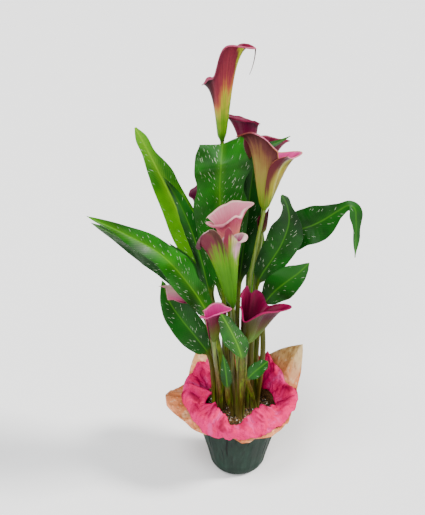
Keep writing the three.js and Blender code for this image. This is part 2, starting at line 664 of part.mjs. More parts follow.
// The scape, the spathe and the spadix of one flower.
function addFlower(name, flower, route) {
  const top = route.length;
  const heading = route.heading(top - 2);
  const axis = vec(...flower.axis).normalize();
  const back = vec(...flower.back);
  back.addScaledVector(axis, -back.dot(axis)).normalize();
  const clear = GAP + SCAPE_TOP * Math.sqrt(1 - Math.min(1, heading.dot(axis)) ** 2);
  const base = route.at(top).addScaledVector(heading, clear);
  const frame = { base, axis, back, across: axis.clone().cross(back) };
  const line = { at: (d) => frame.base.clone().addScaledVector(axis, d), heading: () => axis };
  const stations = route.stations(top, 6);
  const radii = stations.map((d) => mix(STALK.foot, SCAPE_TOP, d / top));
  place(`scape_${name}`, rodSolid(route, stations, radii), FINISH.stalk);
  place(`spathe_${name}`, spatheSolid(flower, frame, line), FINISH[flower.finish]);
  if (flower.spadix) {
    const from = coreRings(flower).at(-1)[1] + GAP;
    const distances = [0, 0.5, 0.92, 1].map((t) => from + flower.spadix * t);
    const girth = [1, 0.95, 0.8, 0.4].map((t) => SPADIX.radius * t);
    place(`spadix_${name}`, rodSolid(line, distances, girth, SPADIX.sides), FINISH.spadix);
  }
}

// The radius and height of a sheet's edge at an angle: straight from one point of its table to the next.
function edgeAt(table, degrees) {
  const n = table.length;
  const found = table.findIndex(([angle]) => angle > degrees);
  const i = found < 0 ? n : found;
  const [a, b] = [table[i - 1], table[i % n]];
  const t = (degrees - a[0]) / ((i === n ? 360 : b[0]) - a[0]);
  return [mix(a[1], b[1], t), mix(a[2], b[2], t)];
}

// Crumples of a sheet at an angle, as a height that the free edge gains or loses.
function crumple(degrees, seed) {
  const a = radians(degrees);
  const fine = 0.4 * Math.sin(17 * a + 2.1 * seed);
  return 0.6 * Math.sin(9 * a + seed) + fine + 0.3 * Math.sin(5 * a - seed);
}

// The copper sheet's section at an angle: up between tissue and cover, out over the rim, to its edge.
function copperSection(degrees, fold) {
  const [edgeRadius, edgeZ] = edgeAt(COPPER_EDGE, degrees);
  const lip = [COPPER.rimRadius + 3.2, RIM_TOP + 1.6];
  return [
    [COPPER.tuckRadius, COPPER.tuckZ],
    [COPPER.rimRadius, 121],
    [COPPER.rimRadius, RIM_TOP],
    lip,
    [mix(lip[0], edgeRadius, 0.5), mix(lip[1], edgeZ, 0.55) + fold],
    [edgeRadius, edgeZ + 1.5 * fold],
  ];
}

// The tissue sheet's section at an angle: up beside the pot's lip, in over the rim, then out over the copper.
// Where the edge is low the sheet hangs over the rim, and where it is high it stands.
function tissueSection(degrees, fold) {
  const [edgeRadius, edgeZ] = edgeAt(TISSUE_EDGE, degrees);
  const crest = edgeAt(TISSUE_CREST, degrees);
  const high = ease((edgeZ - 115) / 60);
  const between = (share) => [mix(crest[0], edgeRadius, share), mix(crest[1], edgeZ, share)];
  const [inward, outward] = [between(0.32), between(0.7)];
  const over = mix(136, crest[1], 0.45);
  const shoulder = [mix(75.5, inward[0], high), mix(over, inward[1] + 3, high)];
  const skirt = [mix(edgeRadius - 3, outward[0], high), mix(edgeZ + 14, outward[1] + 3, high)];
  return [
    [TISSUE.tuckRadius, TISSUE.tuckZ],
    [TISSUE.rimRadius, 121],
    [TISSUE.rimRadius, RIM_TOP],
    crest,
    [shoulder[0], shoulder[1] + fold],
    [skirt[0], skirt[1] + fold],
    [edgeRadius, edgeZ + 2 * fold],
  ];
}

function collarSolid(sheet, seed, section) {
  const outer = [];
  const inner = [];
  for (const c of steps(sheet.columns).slice(0, -1)) {
    const degrees = 360 * c;
    const a = radians(degrees);
    const line = section(degrees, crumple(degrees, seed));
    line.forEach(([r, z], i) => {
      const before = line[Math.max(0, i - 1)];
      const after = line[Math.min(line.length - 1, i + 1)];
      const slope = Math.hypot(after[0] - before[0], after[1] - before[1]);
      const normal = [(after[1] - before[1]) / slope, -(after[0] - before[0]) / slope];
      const put = (k) => {
        const radius = r + k * sheet.thickness * normal[0];
        return vec(radius * Math.cos(a), radius * Math.sin(a), z + k * sheet.thickness * normal[1]);
      };
      (outer[i] ??= []).push(put(0.5));
      (inner[i] ??= []).push(put(-0.5));
    });
  }
  return sheetSolid(outer, inner, true);
}

// A body turned round the vertical axis. pleat gives what each side and height adds to the radius.
function turnedSolid(profile, sides, pleat = () => 0) {
  const geometry = new THREE.LatheGeometry(profile.map(([r, z]) => new THREE.Vector2(r, z)), sides);
  geometry.rotateX(Math.PI / 2);
  const spots = geometry.attributes.position;
  for (let i = 0; i < spots.count; i++) {
    const [x, y] = [spots.getX(i), spots.getY(i)];
    const r = Math.hypot(x, y);
    if (r < 1e-6) continue;
    const side = Math.round((Math.atan2(y, x) / (2 * Math.PI)) * sides);
    const grown = 1 + pleat(side, spots.getZ(i)) / r;
    spots.setXY(i, x * grown, y * grown);
  }
  return toSolid(geometry);
}

const potSlope = (POT.rimRadius - POT.kneeRadius) / (POT.rimZ - POT.kneeZ);
const potRadius = (z) => POT.kneeRadius + potSlope * (z - POT.kneeZ);

// The grower's pot: a thin tapered shell with a rolled lip, a rounded bottom edge and drain holes.
function growerPot() {
  const { floor, kneeZ, rimZ, wall } = POT;
  const shell = turnedSolid(
    [
      [0, floor], [34, floor], [41, 5.2], [45.6, 12], [potRadius(kneeZ), kneeZ],
      [potRadius(POT_LIP.bottom), POT_LIP.bottom], [POT_LIP.radius, POT_LIP.bottom + 0.4],
      [POT_LIP.radius, rimZ], [potRadius(rimZ) - wall, rimZ], [potRadius(kneeZ) - wall, kneeZ],
      [43.9, 13.2], [40, 7], [33.4, floor + wall], [0, floor + wall],
    ],
    POT.sides,
  );
  const drains = [45, 135, 225, 315].map((turn) => {
    const drain = new THREE.CylinderGeometry(5, 5, 10, 8).rotateX(Math.PI / 2);
    return toSolid(drain.translate(24 * Math.cos(radians(turn)), 24 * Math.sin(radians(turn)), floor));
  });
  return drains.reduce((pot, drain) => pot.subtract(drain), shell);
}

// The pot cover: a thin pleated shell with a flat underside and a rounded bottom edge.
function potCover() {
  const { rimZ, rimRadius, kneeZ, kneeRadius, footRadius, wall, pleats, pleat } = COVER;
  const middle = [mix(kneeRadius, rimRadius, 0.47), mix(kneeZ, rimZ, 0.47)];
  const profile = [
    [0, 0], [footRadius, 0], [43.8, 3.2], [48.5, 10.8], [kneeRadius, kneeZ], middle, [rimRadius, rimZ],
    [rimRadius - wall, rimZ], [middle[0] - wall, middle[1]], [kneeRadius - wall, kneeZ],
    [47.3, 11.2], [43, 4.4], [footRadius, wall], [0, wall],
  ];
  return turnedSolid(profile, 2 * pleats, (side, z) => (side % 2 === 0 ? pleat * ease((z - 2) / 20) : 0));
}

// The soil: it fills the pot to just under the rim, and is open at each tuber and stalk.
function pottingMix(openings) {
  const { top, edgeDrop } = SOIL;
  const edge = (z) => potRadius(z) - POT.wall - GAP;
  const bottom = POT.floor + POT.wall + 0.3;
  const body = turnedSolid(
    [
      [0, bottom], [32.8, bottom], [39.3, 7.4], [43.3, 13.6], [edge(POT.kneeZ), POT.kneeZ + 0.2],
      [edge(top - edgeDrop), top - edgeDrop], [52, top - 1], [0, top + 0.6],
    ],
    POT.sides,
  );
  return openings.reduce((soil, opening) => soil.subtract(opening), body);
}

// A tuber: a round cake with a slightly hollow top. grow enlarges it, for the socket in the soil.
function tuberSolid(clump, grow) {
  const r = clump.radius + grow;
  const top = TUBER.top + grow;
  const bottom = TUBER.top - TUBER.height - grow;
  const profile = [
    [0, bottom], [0.6 * r, bottom], [0.93 * r, bottom + 4], [r, bottom + 9], [0.95 * r, top], [0, top],
  ];
  const cake = new THREE.LatheGeometry(profile.map(([x, z]) => new THREE.Vector2(x, z)), TUBER.sides);
  return toSolid(cake.rotateX(Math.PI / 2).translate(clump.middle[0], clump.middle[1], 0));
}

// The plain upright hole in which a stalk stands.
function stalkHole(foot) {
  const line = { at: (d) => vec(foot.x, foot.y, TUBER.top + d), heading: () => vec(0, 0, 1) };
  return rodSolid(line, [0, SOIL.top + 3 - TUBER.top], [STALK.hole, STALK.hole], 6);
}

const openings = Object.values(CLUMP).map((clump) => tuberSolid(clump, GAP));
for (const [name, leaf] of Object.entries(LEAVES)) {
  const foot = footOn(...leaf.foot);
  const route = new Route(foot, [leaf.stalk, ...leaf.rib]);
  place(`leaf_${name}`, leafSolid(leaf, route), leaf.light ? FINISH.lightLeaf : FINISH.leaf);
  openings.push(stalkHole(foot));
}
for (const [name, flower] of Object.entries(FLOWERS)) {
  const foot = footOn(...flower.foot);
  addFlower(name, flower, new Route(foot, flower.stem));
  openings.push(stalkHole(foot));
}
for (const [name, clump] of Object.entries(CLUMP)) {
  place(`tuber_${name}`, tuberSolid(clump, 0), FINISH.tuber);
}
place("potting_mix", pottingMix(openings), FINISH.soil);
place("grower_pot", growerPot(), FINISH.plastic);
place("pot_cover", potCover(), FINISH.cover);
place("copper_collar", collarSolid(COPPER, 1.3, copperSection), FINISH.copper);
place("tissue_collar", collarSolid(TISSUE, 0.4, tissueSection), FINISH.tissue);

export default plant;
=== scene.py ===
"""Potted calla lily: the finish of its leaves, flowers, soil, pot cover and paper collars.

Lengths in the tables are millimetres in the part's own frame, and become metres when a mesh is made. Each
surface is a formula on a grid of two parameters: u runs along a piece and v or an angle runs across it.
"""

import logging
import math
from dataclasses import dataclass, field
from enum import Enum

import bpy
import numpy as np
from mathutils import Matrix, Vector
from numpy.typing import NDArray


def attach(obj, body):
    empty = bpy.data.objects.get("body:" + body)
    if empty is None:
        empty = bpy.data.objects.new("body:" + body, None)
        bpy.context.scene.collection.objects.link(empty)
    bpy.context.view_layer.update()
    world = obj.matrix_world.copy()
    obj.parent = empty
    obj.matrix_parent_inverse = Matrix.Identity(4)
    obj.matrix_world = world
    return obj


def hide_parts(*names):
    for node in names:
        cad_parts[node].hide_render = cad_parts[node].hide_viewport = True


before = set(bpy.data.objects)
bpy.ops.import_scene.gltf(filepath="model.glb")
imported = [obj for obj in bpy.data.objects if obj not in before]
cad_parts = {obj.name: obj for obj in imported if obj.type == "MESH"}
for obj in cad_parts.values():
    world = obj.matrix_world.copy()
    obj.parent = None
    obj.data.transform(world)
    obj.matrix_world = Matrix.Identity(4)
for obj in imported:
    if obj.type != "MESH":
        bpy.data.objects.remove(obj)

Array = NDArray[np.float64]
Faces = NDArray[np.int64]
Point = tuple[float, float, float]
Colour = tuple[float, float, float, float]
Span = tuple[float, float]
Socket = bpy.types.NodeSocket
Material = bpy.types.Material
Stops = tuple[tuple[float, str], ...]
MM = 0.001
BODY = "root"
log = logging.getLogger("calla")


# Sizes shared with the solids.
FOOT_PITCH = 8.8
FOOT_HEIGHT = 88.4
LEAD = 33.0
STALK_FOOT, STALK_NECK = 3.3, 2.5
SCAPE_TOP = 3.1
FOOT_GAP = 0.4
TUBE_RADIUS = 3.7
RIM_TOP = 128.5
CLUMPS: dict[str, Span] = {"left": (-30, 6), "centre": (3, -14), "right": (30, 10)}

# Sizes of the finish alone.
VEIN_GAP = 6.8
LATTICE_SIDE = 64
END_SHARE = 0.001
DEEPEN_POWER = 1.35
DIM_SHARE = 0.66


def ease(t: Array | float) -> Array:
    """A smooth step from 0 to 1: 3t^2 - 2t^3, held flat outside."""
    c = np.clip(t, 0.0, 1.0)
    return c * c * (3 - 2 * c)


def mix(a: Array | float, b: Array | float, t: Array | float) -> Array:
    """The value a share t of the way from a to b."""
    return a + (b - a) * t


def unit(vectors: Array) -> Array:
    """Vectors of the same direction and length 1."""
    return vectors / np.maximum(np.linalg.norm(vectors, axis=-1, keepdims=True), 1e-9)


def bump(x: Array, middle: float, spread: float) -> Array:
    """A bell of height 1 about middle: exp(-((x - middle) / spread)^2)."""
    return np.exp(-(((x - middle) / spread) ** 2))


def around(degrees: Array | float, middle: float) -> Array:
    """Degrees from middle, between -180 and 180."""
    return (np.asarray(degrees) - middle + 540) % 360 - 180


def cubic(a: Array, b: Array, c: Array, d: Array, t: Array) -> Array:
    """The Catmull-Rom cubic, a share t of the way from b to c: at each it slopes as its neighbours lie."""
    return b + 0.5 * t * (c - a + t * (2 * a - 5 * b + 4 * c - d + t * (3 * b - a - 3 * c + d)))


def lattice_noise(
    x: Array, y: Array, seed: int, sharp: bool = False, period: int = LATTICE_SIDE
) -> Array:
    """Noise between -1 and 1 from random values on a square lattice.

    Between lattice points the value is eased both ways, or, where sharp, each square is two flat
    triangles, which gives the flat facets and straight creases of crumpled paper.

    Args:
        x: place along the first way, where the pattern repeats after period squares.
        y: place along the second way, where it repeats after LATTICE_SIDE squares.
        seed: picks the random values.
        sharp: flat facets in place of soft hills.
        period: squares along x before the pattern repeats.

    Returns:
        The noise at each place.
    """
    table = np.random.default_rng(seed).uniform(-1, 1, (period, LATTICE_SIDE))
    i, j = np.floor(x).astype(int), np.floor(y).astype(int)
    fx, fy = x - i, y - j
    left, right = i % period, (i + 1) % period
    low, high = j % LATTICE_SIDE, (j + 1) % LATTICE_SIDE
    a, b, c, d = table[left, low], table[right, low], table[left, high], table[right, high]
    if sharp:
        return np.where(fx >= fy, a + (b - a) * fx + (d - b) * fy, a + (c - a) * fy + (d - c) * fx)
    return mix(mix(a, b, ease(fx)), mix(c, d, ease(fx)), ease(fy))


def grid_faces(rows: int, cols: int, wrap: bool, start: int = 0) -> Faces:
    """Four-sided faces of a grid of points that are numbered row by row from start.

    Args:
        rows: points along the grid.
        cols: points across it.
        wrap: whether the last column joins the first.
        start: number of the first point.

    Returns:
        One row of four point numbers for each face.
    """
    i, j = np.meshgrid(np.arange(rows - 1), np.arange(cols if wrap else cols - 1), indexing="ij")
    i, j, k = i.ravel(), j.ravel(), (j.ravel() + 1) % cols
    return start + np.stack([i * cols + j, i * cols + k, (i + 1) * cols + k, (i + 1) * cols + j], 1)


def edge_faces(near: Faces, far: Faces, closed: bool) -> Faces:
    """Four-sided faces that join two lines of points of the same length.

    Args:
        near: point numbers of the first line.
        far: point numbers of the second line.
        closed: whether each line is a ring.

    Returns:
        One row of four point numbers for each face.
    """
    if closed:
        near, far = np.append(near, near[0]), np.append(far, far[0])
    return np.stack([near[:-1], far[:-1], far[1:], near[1:]], 1)


def outward(points: Array, faces: Faces) -> Faces:
    """The faces turned to point out: their signed volume, a sum of p0 . (p1 x p2), is made positive.

    Args:
        points: places of the points.
        faces: point numbers of the four-sided faces of a closed surface.

    Returns:
        The faces as they were, or all reversed.
    """
    p = points[faces]
    halves = np.cross(p[:, 1], p[:, 2]) + np.cross(p[:, 2], p[:, 3])
    return faces if float((p[:, 0] * halves).sum()) > 0 else faces[:, ::-1]


@dataclass
class Skin:
    """A closed surface in the making: its points, faces, and values kept at each point."""

    points: Array
    faces: Faces
    traits: dict[str, Array] = field(default_factory=dict)

    @classmethod
    def sheet(cls, upper: Array, lower: Array, wrap: bool, traits: dict[str, Array]) -> "Skin":
        """A thin closed sheet between two grids that face each other.

        Args:
            upper: points of the first face, rows by columns by 3.
            lower: points of the second face.
            wrap: whether the columns join into a ring.
            traits: values on the grid. Each is kept on both faces, and "under" is added: 0 on the
                first face and 1 on the second.

        Returns:
            The closed sheet.
        """
        rows, cols = upper.shape[:2]
        count = rows * cols
        points = np.concatenate([upper.reshape(-1, 3), lower.reshape(-1, 3)])
        number = np.arange(count).reshape(rows, cols)
        sides = [grid_faces(rows, cols, wrap), grid_faces(rows, cols, wrap, count)[:, ::-1]]
        sides.append(edge_faces(number[0], number[0] + count, wrap))
        sides.append(edge_faces(number[-1], number[-1] + count, wrap)[:, ::-1])
        if not wrap:
            sides.append(edge_faces(number[:, 0], number[:, 0] + count, False)[:, ::-1])
            sides.append(edge_faces(number[:, -1], number[:, -1] + count, False))
        kept = {k: np.concatenate([v.reshape(count, -1)] * 2).squeeze() for k, v in traits.items()}
        kept["under"] = np.repeat([0.0, 1.0], count)
        return cls(points, outward(points, np.concatenate(sides)), kept)

    @classmethod
    def tube(cls, rings: Array) -> "Skin":
        """A closed body from rings of points, whose two ends are drawn in to END_SHARE of their width.

        Args:
            rings: points, rings by points round by 3.

        Returns:
            The closed body.
        """
        middles = rings[[0, -1]].mean(1)[:, None]
        ends = middles + END_SHARE * (rings[[0, -1]] - middles)
        closed = np.concatenate([ends[:1], rings, ends[1:]])
        rows, cols = closed.shape[:2]
        number = np.arange(rows * cols).reshape(rows, cols)
        half = np.arange(cols // 2 - 1)
        caps = [
            np.stack([ring[half], ring[half + 1], ring[cols - 2 - half], ring[cols - 1 - half]], 1)
            for ring in (number[0][::-1], number[-1])
        ]
        points = closed.reshape(-1, 3)
        return cls(points, outward(points, np.concatenate([grid_faces(rows, cols, True), *caps])))

    def piece(self, name: str, material: Material, slot: str, *nodes: str) -> None:
        """Makes the Blender object, in metres, with its place in its mesh, riding on the part.

        Args:
            name: the object's name.
            material: its finish.
            slot: the material slot that the finish belongs to, which this function does not use.
            nodes: the solids that it stands for, if any.
        """
        mesh = bpy.data.meshes.new(name)
        mesh.from_pydata((self.points * MM).tolist(), [], self.faces.tolist())
        for label, values in self.traits.items():
            kind, key = ("FLOAT", "value") if values.ndim == 1 else ("FLOAT_VECTOR", "vector")
            layer = mesh.attributes.new(label, kind, "POINT")
            layer.data.foreach_set(key, np.ascontiguousarray(values, np.float32).ravel())
        mesh.shade_smooth()
        mesh.materials.append(material)
        made = bpy.data.objects.new(name, mesh)
        bpy.context.scene.collection.objects.link(made)
        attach(made, BODY)
        if nodes:
            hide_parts(*nodes)
        log.info("%s: %d faces", name, len(self.faces))


def tone(code: str) -> Colour:
    """A base colour from a colour as it is seen, deepened by as much as the studio light lifts it.

    Each channel c is made linear, ((c + 0.055) / 1.055)^2.4, raised to DEEPEN_POWER and dimmed to
    DIM_SHARE.

    Args:
        code: six hex digits.

    Returns:
        Linear red, green and blue, and 1.
    """
    screen = [int(code[k : k + 2], 16) / 255 for k in (0, 2, 4)]
    red, green, blue = (
        DIM_SHARE * (((c + 0.055) / 1.055) ** 2.4) ** DEEPEN_POWER for c in screen
    )
    return red, green, blue, 1.0


class Paint:
    """One material's node tree, with short names for the nodes that these finishes use.

    On a Mix node set to colours, the two colours are inputs 6 and 7, and the mix is output 2.
    """

    COLOUR_A, COLOUR_B, COLOUR_OUT = 6, 7, 2

    def __init__(self, name: str) -> None:
        """Starts an empty material with one Principled surface.

        Args:
            name: the material's name.
        """
        self.material = bpy.data.materials.new(name)
        self.material.use_nodes = True
        self.tree = self.material.node_tree
        self.surface = self.tree.nodes["Principled BSDF"]

    def feed(self, socket: Socket, value: Socket | float | tuple[float, ...]) -> None:
        """Links an input, or sets it where the value is a number or a colour.

        Args:
            socket: the input.
            value: what it gets.
        """
        if isinstance(value, Socket):
            self.tree.links.new(value, socket)
        else:
            socket.default_value = value

    def node(self, kind: str, feeds: dict[str | int, object], **settings: str) -> bpy.types.Node:
        """Adds a node, sets its properties and feeds its inputs.

        Args:
            kind: the node's type.
            feeds: what its inputs get, by their names or numbers.
            settings: its properties by name.

        Returns:
            The node.
        """
        made = self.tree.nodes.new(kind)
        for name, value in settings.items():
            setattr(made, name, value)
        for socket, value in feeds.items():
            self.feed(made.inputs[socket], value)
        return made

    def trait(self, name: str, output: str = "Fac") -> Socket:
        """A value that the mesh keeps at its points."""
        return self.node("ShaderNodeAttribute", {}, attribute_name=name).outputs[output]

    def place(self, scale: Point = (1, 1, 1)) -> Socket:
        """Object coordinates, in metres, stretched by scale."""
        return self.stretched(self.node("ShaderNodeTexCoord", {}).outputs["Object"], scale)

    def height(self) -> Socket:
        """Height over the floor, in metres."""
        return self.split(self.place())[2]

    def stretched(self, vector: Socket, scale: Point) -> Socket:
        """A vector with each part times its scale."""
        return self.node("ShaderNodeMapping", {"Vector": vector, "Scale": scale}).outputs["Vector"]

    def split(self, vector: Socket) -> tuple[Socket, ...]:
        """The three parts of a vector."""
        return tuple(self.node("ShaderNodeSeparateXYZ", {0: vector}).outputs)

    def sum(self, word: str, a: Socket | float, b: Socket | float = 0.0) -> Socket:
        """A sum on one value or two, by the node's word for it, such as ADD, SINE or GREATER_THAN."""
        return self.node("ShaderNodeMath", {0: a, 1: b}, operation=word).outputs[0]

    def plus(self, a: Socket, b: Socket | float) -> Socket:
        """One value added to another."""
        return self.sum("ADD", a, b)

    def times(self, a: Socket, b: Socket | float) -> Socket:
        """One value times another."""
        return self.sum("MULTIPLY", a, b)

    def apart(self, a: Socket, b: Socket | float) -> Socket:
        """How far two values lie from each other."""
        return self.sum("ABSOLUTE", self.sum("SUBTRACT", a, b))

    def span(
        self, value: Socket, low: float, high: float, to_low: float = 0.0, to_high: float = 1.0
    ) -> Socket:
        """The way from low to high laid smoothly over the way from to_low to to_high, held flat outside."""
        feeds = {"Value": value, "From Min": low, "From Max": high, "To Min": to_low, "To Max": to_high}
        return self.node("ShaderNodeMapRange", feeds, interpolation_type="SMOOTHSTEP").outputs["Result"]

    def noise(self, vector: Socket, scale: float, detail: float, rough: float = 0.55) -> Socket:
        """Noise about 0.5: scale lumps to a unit, and detail finer layers, each rough times as strong."""
        feeds = {"Vector": vector, "Scale": scale, "Detail": detail, "Roughness": rough}
        return self.node("ShaderNodeTexNoise", feeds).outputs["Fac"]

    def grain(
        self, scale: float, detail: float, rough: float = 0.55, stretch: Point = (1, 1, 1)
    ) -> Socket:
        """Noise on Object coordinates, of scale lumps a metre, which are drawn out as 1 / stretch."""
        return self.noise(self.place(stretch), scale, detail, rough)

    def cells(self, vector: Socket, scale: float) -> tuple[Socket, Socket]:
        """The distance to the nearest of many scattered points, and a random number for that point."""
        made = self.node("ShaderNodeTexVoronoi", {"Vector": vector, "Scale": scale})
        return made.outputs["Distance"], self.split(made.outputs["Color"])[0]

    def blend(self, share: Socket, a: Socket | Colour, b: Socket | Colour) -> Socket:
        """Two colours mixed, with a share of the second."""
        feeds = {0: share, self.COLOUR_A: a, self.COLOUR_B: b}
        return self.node("ShaderNodeMix", feeds, data_type="RGBA").outputs[self.COLOUR_OUT]

    def over(self, colour: Socket, code: str, share: Socket) -> Socket:
        """A colour with a share of another laid over it."""
        return self.blend(share, colour, tone(code))

    def tinted(self, colour: Socket, code: str, pattern: Socket, *way: float) -> Socket:
        """A colour with another laid over it, as strongly as span gives it for a pattern and its way."""
        return self.over(colour, code, self.span(pattern, *way))

    def turning(
        self, pattern: Socket, first: str, second: str, low: float = 0.3, high: float = 0.7
    ) -> Socket:
        """One colour that turns into another where a pattern goes from low to high."""
        return self.blend(self.span(pattern, low, high), tone(first), tone(second))

    def ramp(self, value: Socket, stops: Stops) -> Socket:
        """A colour that changes along a value.

        Args:
            value: the value.
            stops: places along it, each with its colour.

        Returns:
            The colour.
        """
        made = self.node("ShaderNodeValToRGB", {0: value})
        marks = made.color_ramp.elements
        while len(marks) < len(stops):
            marks.new(1.0)
        for mark, (spot, code) in zip(marks, stops):
            mark.position = spot
            mark.color = tone(code)
        return made.outputs["Color"]

    def relief(self, height: Socket, distance: float, strength: float) -> None:
        """Makes the shading follow a height in units of distance, in metres: below zero, hills sink in."""
        made = self.node("ShaderNodeBump", {"Height": height, "Distance": distance, "Strength": strength})
        self.feed(self.surface.inputs["Normal"], made.outputs["Normal"])

    def finish(
        self, colour: Socket, roughness: Socket | float, specular: float = 0.5, metal: float = 0.0
    ) -> Material:
        """Fills the surface and returns the material.

        Args:
            colour: the base colour.
            roughness: the roughness.
            specular: how strongly it reflects, where 0.5 is usual.
            metal: how metallic it is, 0 to 1.

        Returns:
            The finished material.
        """
        feeds = {"Base Color": colour, "Roughness": roughness, "Specular IOR Level": specular}
        for name, value in {**feeds, "Metallic": metal}.items():
            self.feed(self.surface.inputs[name], value)
        return self.material


class Route:
    """A smooth line from a foot through points, measured along its length.

    It is a centripetal Catmull-Rom curve: between two points the line is a cubic whose end slopes come
    from the neighbours, each distance weighed by its square root. It starts with a straight upright lead.
    """

    PER_SPAN = 60
    LOOK_MM = 1.5

    def __init__(self, foot: Array, points: tuple[Point, ...]) -> None:
        """Works out the line's points, the length run at each, and at each given point.

        Args:
            foot: where the line starts.
            points: the places that it goes through after its lead.
        """
        knots = np.vstack([foot, foot + [0, 0, LEAD], np.array(points, float)])
        ends = np.vstack([2 * knots[0] - knots[1], knots, 2 * knots[-1] - knots[-2]])
        gaps = np.linalg.norm(np.diff(ends, axis=0), axis=1) ** 0.5
        t = np.linspace(0, 1, self.PER_SPAN, endpoint=False)[:, None]
        spans = [self._span(ends[k : k + 4], gaps[k : k + 3], t) for k in range(len(knots) - 1)]
        self.spots = np.vstack([*spans, knots[-1]])
        steps = np.linalg.norm(np.diff(self.spots, axis=0), axis=1)
        self.run = np.concatenate([[0.0], np.cumsum(steps)])
        self.length = float(self.run[-1])
        self.marks = self.run[:: self.PER_SPAN]

    @staticmethod
    def _span(p: Array, gap: Array, t: Array) -> Array:
        """Points of the cubic between p[1] and p[2].

        Args:
            p: four points.
            gap: the square roots of the three distances between them.
            t: how far from p[1] to p[2] each wanted point lies.

        Returns:
            The points.
        """
        leave = (p[1] - p[0]) / gap[0] - (p[2] - p[0]) / (gap[0] + gap[1]) + (p[2] - p[1]) / gap[1]
        arrive = (p[2] - p[1]) / gap[1] - (p[3] - p[1]) / (gap[1] + gap[2]) + (p[3] - p[2]) / gap[2]
        leave, arrive = leave * gap[1], arrive * gap[1]
        square = -3 * p[1] + 3 * p[2] - 2 * leave - arrive
        cube = 2 * p[1] - 2 * p[2] + leave + arrive
        return p[1] + leave * t + square * t**2 + cube * t**3

    def at(self, distance: Array) -> Array:
        """Points of the line. Past its end it runs on straight.

        Args:
            distance: distances from the foot.

        Returns:
            The points.
        """
        d = np.clip(distance, 0, self.length)
        spots = np.stack([np.interp(d, self.run, self.spots[:, k]) for k in range(3)], -1)
        past = np.maximum(distance - self.length, 0)
        return spots + past[..., None] * unit(self.spots[-1] - self.spots[-3])

    def heading(self, distance: Array) -> Array:
        """Directions of the line at distances from the foot, each between two points close by."""
        return unit(self.at(distance + self.LOOK_MM) - self.at(distance - self.LOOK_MM))


def foot_on(clump: str, place: int) -> Array:
    """Where a stalk or scape stands on its clump's hexagonal grid.

    Args:
        clump: the clump's name.
        place: 0 for the grid's middle, 1 to 6 for the ring round it, 7 to 12 for the next ring.

    Returns:
        The foot's place.
    """
    x, y = CLUMPS[clump]
    if place == 0:
        return np.array([x, y, FOOT_HEIGHT])
    outer = place > 6
    turn = math.radians(60 * ((place - 1) % 6) + (30 if outer else 0))
    reach = FOOT_PITCH * (math.sqrt(3) if outer else 1)
    return np.array([x + reach * math.cos(turn), y + reach * math.sin(turn), FOOT_HEIGHT])


@dataclass(frozen=True)
class StemFinish:
    """A smooth fleshy stem: green with long streaks, reddish brown low down and pale at the mix.

    The two fades are heights in metres, from where the tint is full to where it is gone.
    """

    green: str = "628418"
    streak: str = "98a83c"
    red: str = "6c3c30"
    pale: str = "a89c60"
    red_fade: Span = (0.17, 0.42)
    pale_fade: Span = (0.115, 0.15)

    def colour(self, paint: Paint) -> Socket:
        """The stem's colour, which the leaves' stalks have too.

        Args:
            paint: the material being painted.

        Returns:
            The colour.
        """
        streaks = paint.grain(420, 3, stretch=(1, 1, 0.05))
        colour = paint.turning(streaks, self.green, self.streak, 0.35)
        low = paint.span(paint.height(), *self.red_fade, 1, 0)
        blotches = paint.grain(90, 2, stretch=(1, 1, 0.12))
        red = paint.times(low, paint.span(blotches, 0.36, 0.52))
        colour = paint.over(colour, self.red, paint.times(red, 0.7))
        pale = paint.span(paint.height(), *self.pale_fade, 1, 0)
        return paint.over(colour, self.pale, paint.times(pale, 0.5))

    def material(self) -> Material:
        """Makes the scapes' material, with fine ridges along them.

        Returns:
            The material.
        """
        paint = Paint("scape")
        paint.relief(paint.grain(700, 2, stretch=(1, 1, 0.06)), 0.0004, 0.3)
        return paint.finish(self.colour(paint), 0.42, specular=0.4)


class Look(Enum):
    """The finish of a leaf: richly spotted, plainer, or light green."""

    SPOTTED = "spotted"
    PLAIN = "plain"
    LIGHT = "light"


